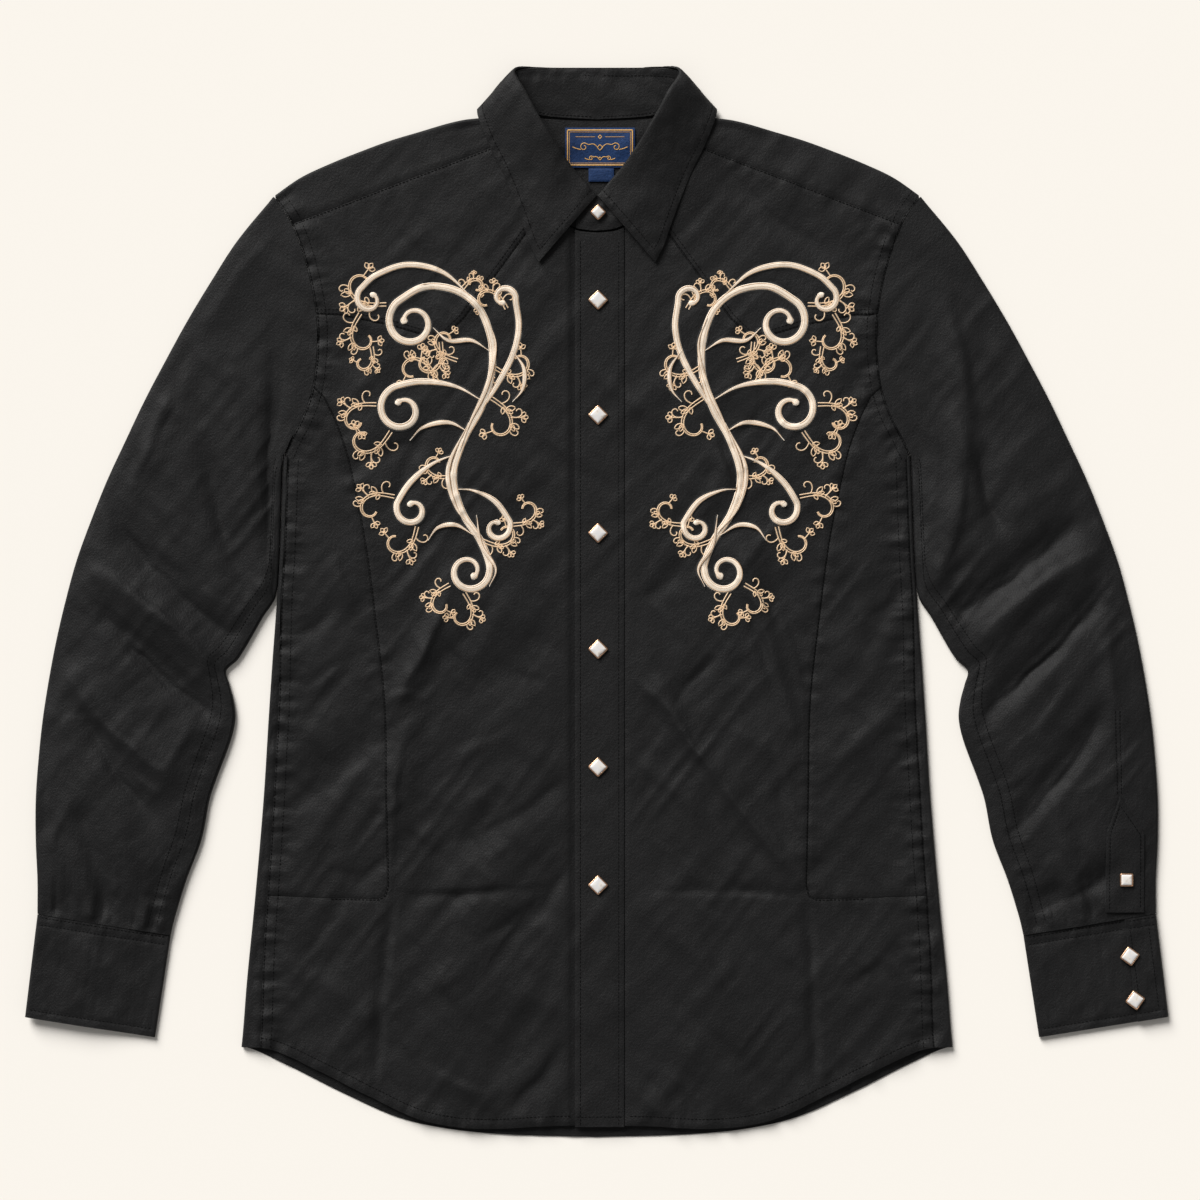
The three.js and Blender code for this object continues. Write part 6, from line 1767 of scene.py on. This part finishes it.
for side, hand_name in ((-1, "right"), (1, "left")):
    satin, painted_shadow, painted_shade_lines, vines, vine_shadow_paint = Threads(), Threads(), Threads(), Threads(), Threads()
    for k, (points_, widest, start_kind, end_kind, start_share, end_share) in enumerate(SCROLLS):
        plan = through(points_, SATIN_STEP)
        t = np.linspace(0, 1, len(plan))
        length = SATIN_STEP * len(plan)
        taper = mix(start_kind, 1, smooth(0, start_share, t)) * mix(end_kind, 1, smooth(0, end_share, 1 - t))
        for kind, gone in ((start_kind, t * length), (end_kind, (1 - t) * length)):
            if kind == CURL:
                taper = np.maximum(taper, 0.98 * np.sqrt(np.clip(1 - ((gone - 2.6) / 3.0) ** 2, 0, 1)))
        width = widest * taper
        ribs = 1 + 0.03 * np.where(np.arange(len(plan)) % 2 == 0, 1, -1)
        lift = 0.25 + 0.1 * k
        thick = (0.9 + 0.13 * width) * np.minimum(1, 0.3 + taper)
        satin.add(on_front(plan, side, lift), width * ribs, thick * ribs, 8)
        wide = on_front(plan[::2], side, 0.0)
        # a wide dark band under the stroke, painted shadow round its edge
        painted_shadow.add(wide, width[::2] + 2.6, np.full(len(wide), 0.8), 4)
        # tan lines along both sides and the middle of the stroke, painted shade
        for across, line_width in ((-0.36, 0.5), (0.37, 0.38), (0.08, 0.22)):
            keep_ = slice(3, -3, 2)
            moved = plan + (across * width)[:, None] * (shifted(plan, 1) - plan)
            above_satin = lift + thick / 2 * math.sqrt(1 - (2 * across) ** 2)
            x = moved[:, 0] * side
            moved = np.column_stack([x, moved[:, 1], front_top(x, moved[:, 1]) + above_satin])[keep_]
            drawn = line_width * np.clip(taper[keep_] * 1.2, 0.3, 1)
            painted_shade_lines.add(moved, drawn, drawn, 4)
    for row in SPRIGS:
        for path in sprig(*row):
            line = on_front(path, side, 0.3)
            vines.add(line, np.full(len(line), VINE_WIDTH), np.full(len(line), 1.0), 4)
            # a wide dark band under the vine, painted shadow
            low_line = on_front(path[::2], side, 0.0)
            vine_shadow_paint.add(low_line, np.full(len(low_line), VINE_WIDTH + 1.5), np.full(len(low_line), 0.5), 4)
    satin.object(f"embroidery_{hand_name}_scrolls", cream_satin)
    # the tan lines painted as shade along the scrolls
    painted_shade_lines.object(f"embroidery_{hand_name}_painted_shading", painted_shade_thread)
    # the dark bands painted as shadow round the scrolls and the vines
    painted_shadow.object(f"embroidery_{hand_name}_edge", painted_shadow_thread)
    vines.object(f"embroidery_{hand_name}_vines", tan_thread)
    vine_shadow_paint.object(f"embroidery_{hand_name}_vine_painted_shadow", painted_shadow_thread)

# Gold frame and a plain ornament woven into the label
def on_label(points_, lift=1.12):
    p = np.asarray(points_, dtype=float)
    x, y = LABEL["x"] + p[:, 0], LABEL["y"] + p[:, 1]
    return np.column_stack([x, y, yoke_floor(x, y) + CLOTH + LAID + 0.1 + lift])


woven = Threads()
half_w, half_h = LABEL["width"] / 2 - 2.0, LABEL["height"] / 2 - 2.0
for drawn_in, width in ((0.0, 0.9), (1.5, 0.35)):
    w, h = half_w - drawn_in, half_h - drawn_in
    for (ax, ay), (bx, by) in (((-w, -h), (w, -h)), ((w, -h), (w, h)), ((w, h), (-w, h)), ((-w, h), (-w, -h))):
        line = on_label(spaced([(ax, ay), (bx, by)], 1.5))
        woven.add(line, np.full(len(line), width), np.full(len(line), 0.3), 6)
for flip in (-1, 1):
    for level, size in ((0.0, 1.0), (-8.5, 0.55)):
        curl = [(1.5, 0), (5, 2.6), (9, 2.2), *spiral(12.5, 0.4, 3.2, 130, -400)]
        tail = [(15, -1.6), (18.5, -0.8), (21.5, 0.4)]
        for piece in (curl, tail):
            line = on_label(through([(flip * a * size, level + b * size) for a, b in piece], 0.6))
            woven.add(line, np.full(len(line), 0.6), np.full(len(line), 0.3), 6)
for level, size in ((0.0, 2.2), (-8.5, 1.2), (8.2, 1.4)):
    diamond = [(size, level), (0, level + size), (-size, level), (0, level - size), (size, level)]
    line = on_label(spaced(diamond, 0.5))
    woven.add(line, np.full(len(line), 0.6), np.full(len(line), 0.3), 6)
for flip in (-1, 1):
    line = on_label(spaced([(flip * 4, 8.2), (flip * 19, 8.2)], 1.0))
    woven.add(line, np.full(len(line), 0.4), np.full(len(line), 0.3), 6)
woven.object("label_ornament", gold_thread, "tab_cloth")


# Floor, light and view
floor_size = 6.0
floor_points = np.array([[-1, -1, 0], [1, -1, 0], [1, 1, 0], [-1, 1, 0]]) * floor_size * 500
floor_mesh = bpy.data.meshes.new("floor")
floor_mesh.from_pydata([tuple(p * MM) for p in floor_points + [0, 0, -0.05]], [], [(0, 1, 2, 3)])
floor = bpy.data.objects.new("floor", floor_mesh)
bpy.context.scene.collection.objects.link(floor)
floor_material, floor_nodes, floor_links, floor_shader = node_material("floor")
floor_shader.inputs["Base Color"].default_value = (0.86, 0.83, 0.78, 1)
floor_shader.inputs["Roughness"].default_value = 0.9
floor_shader.inputs["Specular IOR Level"].default_value = 0.1
floor_mesh.materials.append(floor_material)


sun_data = bpy.data.lights.new("key", "SUN")
sun_data.energy = 5.15
sun_data.angle = math.radians(36)
sun_data.color = (1.0, 0.985, 0.965)
sun = bpy.data.objects.new("key", sun_data)
sun.rotation_euler = (math.radians(58), 0, math.radians(212))
bpy.context.scene.collection.objects.link(sun)
world = bpy.data.worlds.new("world")
world.use_nodes = True
world.node_tree.nodes["Background"].inputs["Color"].default_value = (1.0, 0.99, 0.975, 1)
world.node_tree.nodes["Background"].inputs["Strength"].default_value = 0.25
bpy.context.scene.world = world
bpy.context.scene.view_settings.view_transform = "Standard"
bpy.context.scene.view_settings.look = "None"
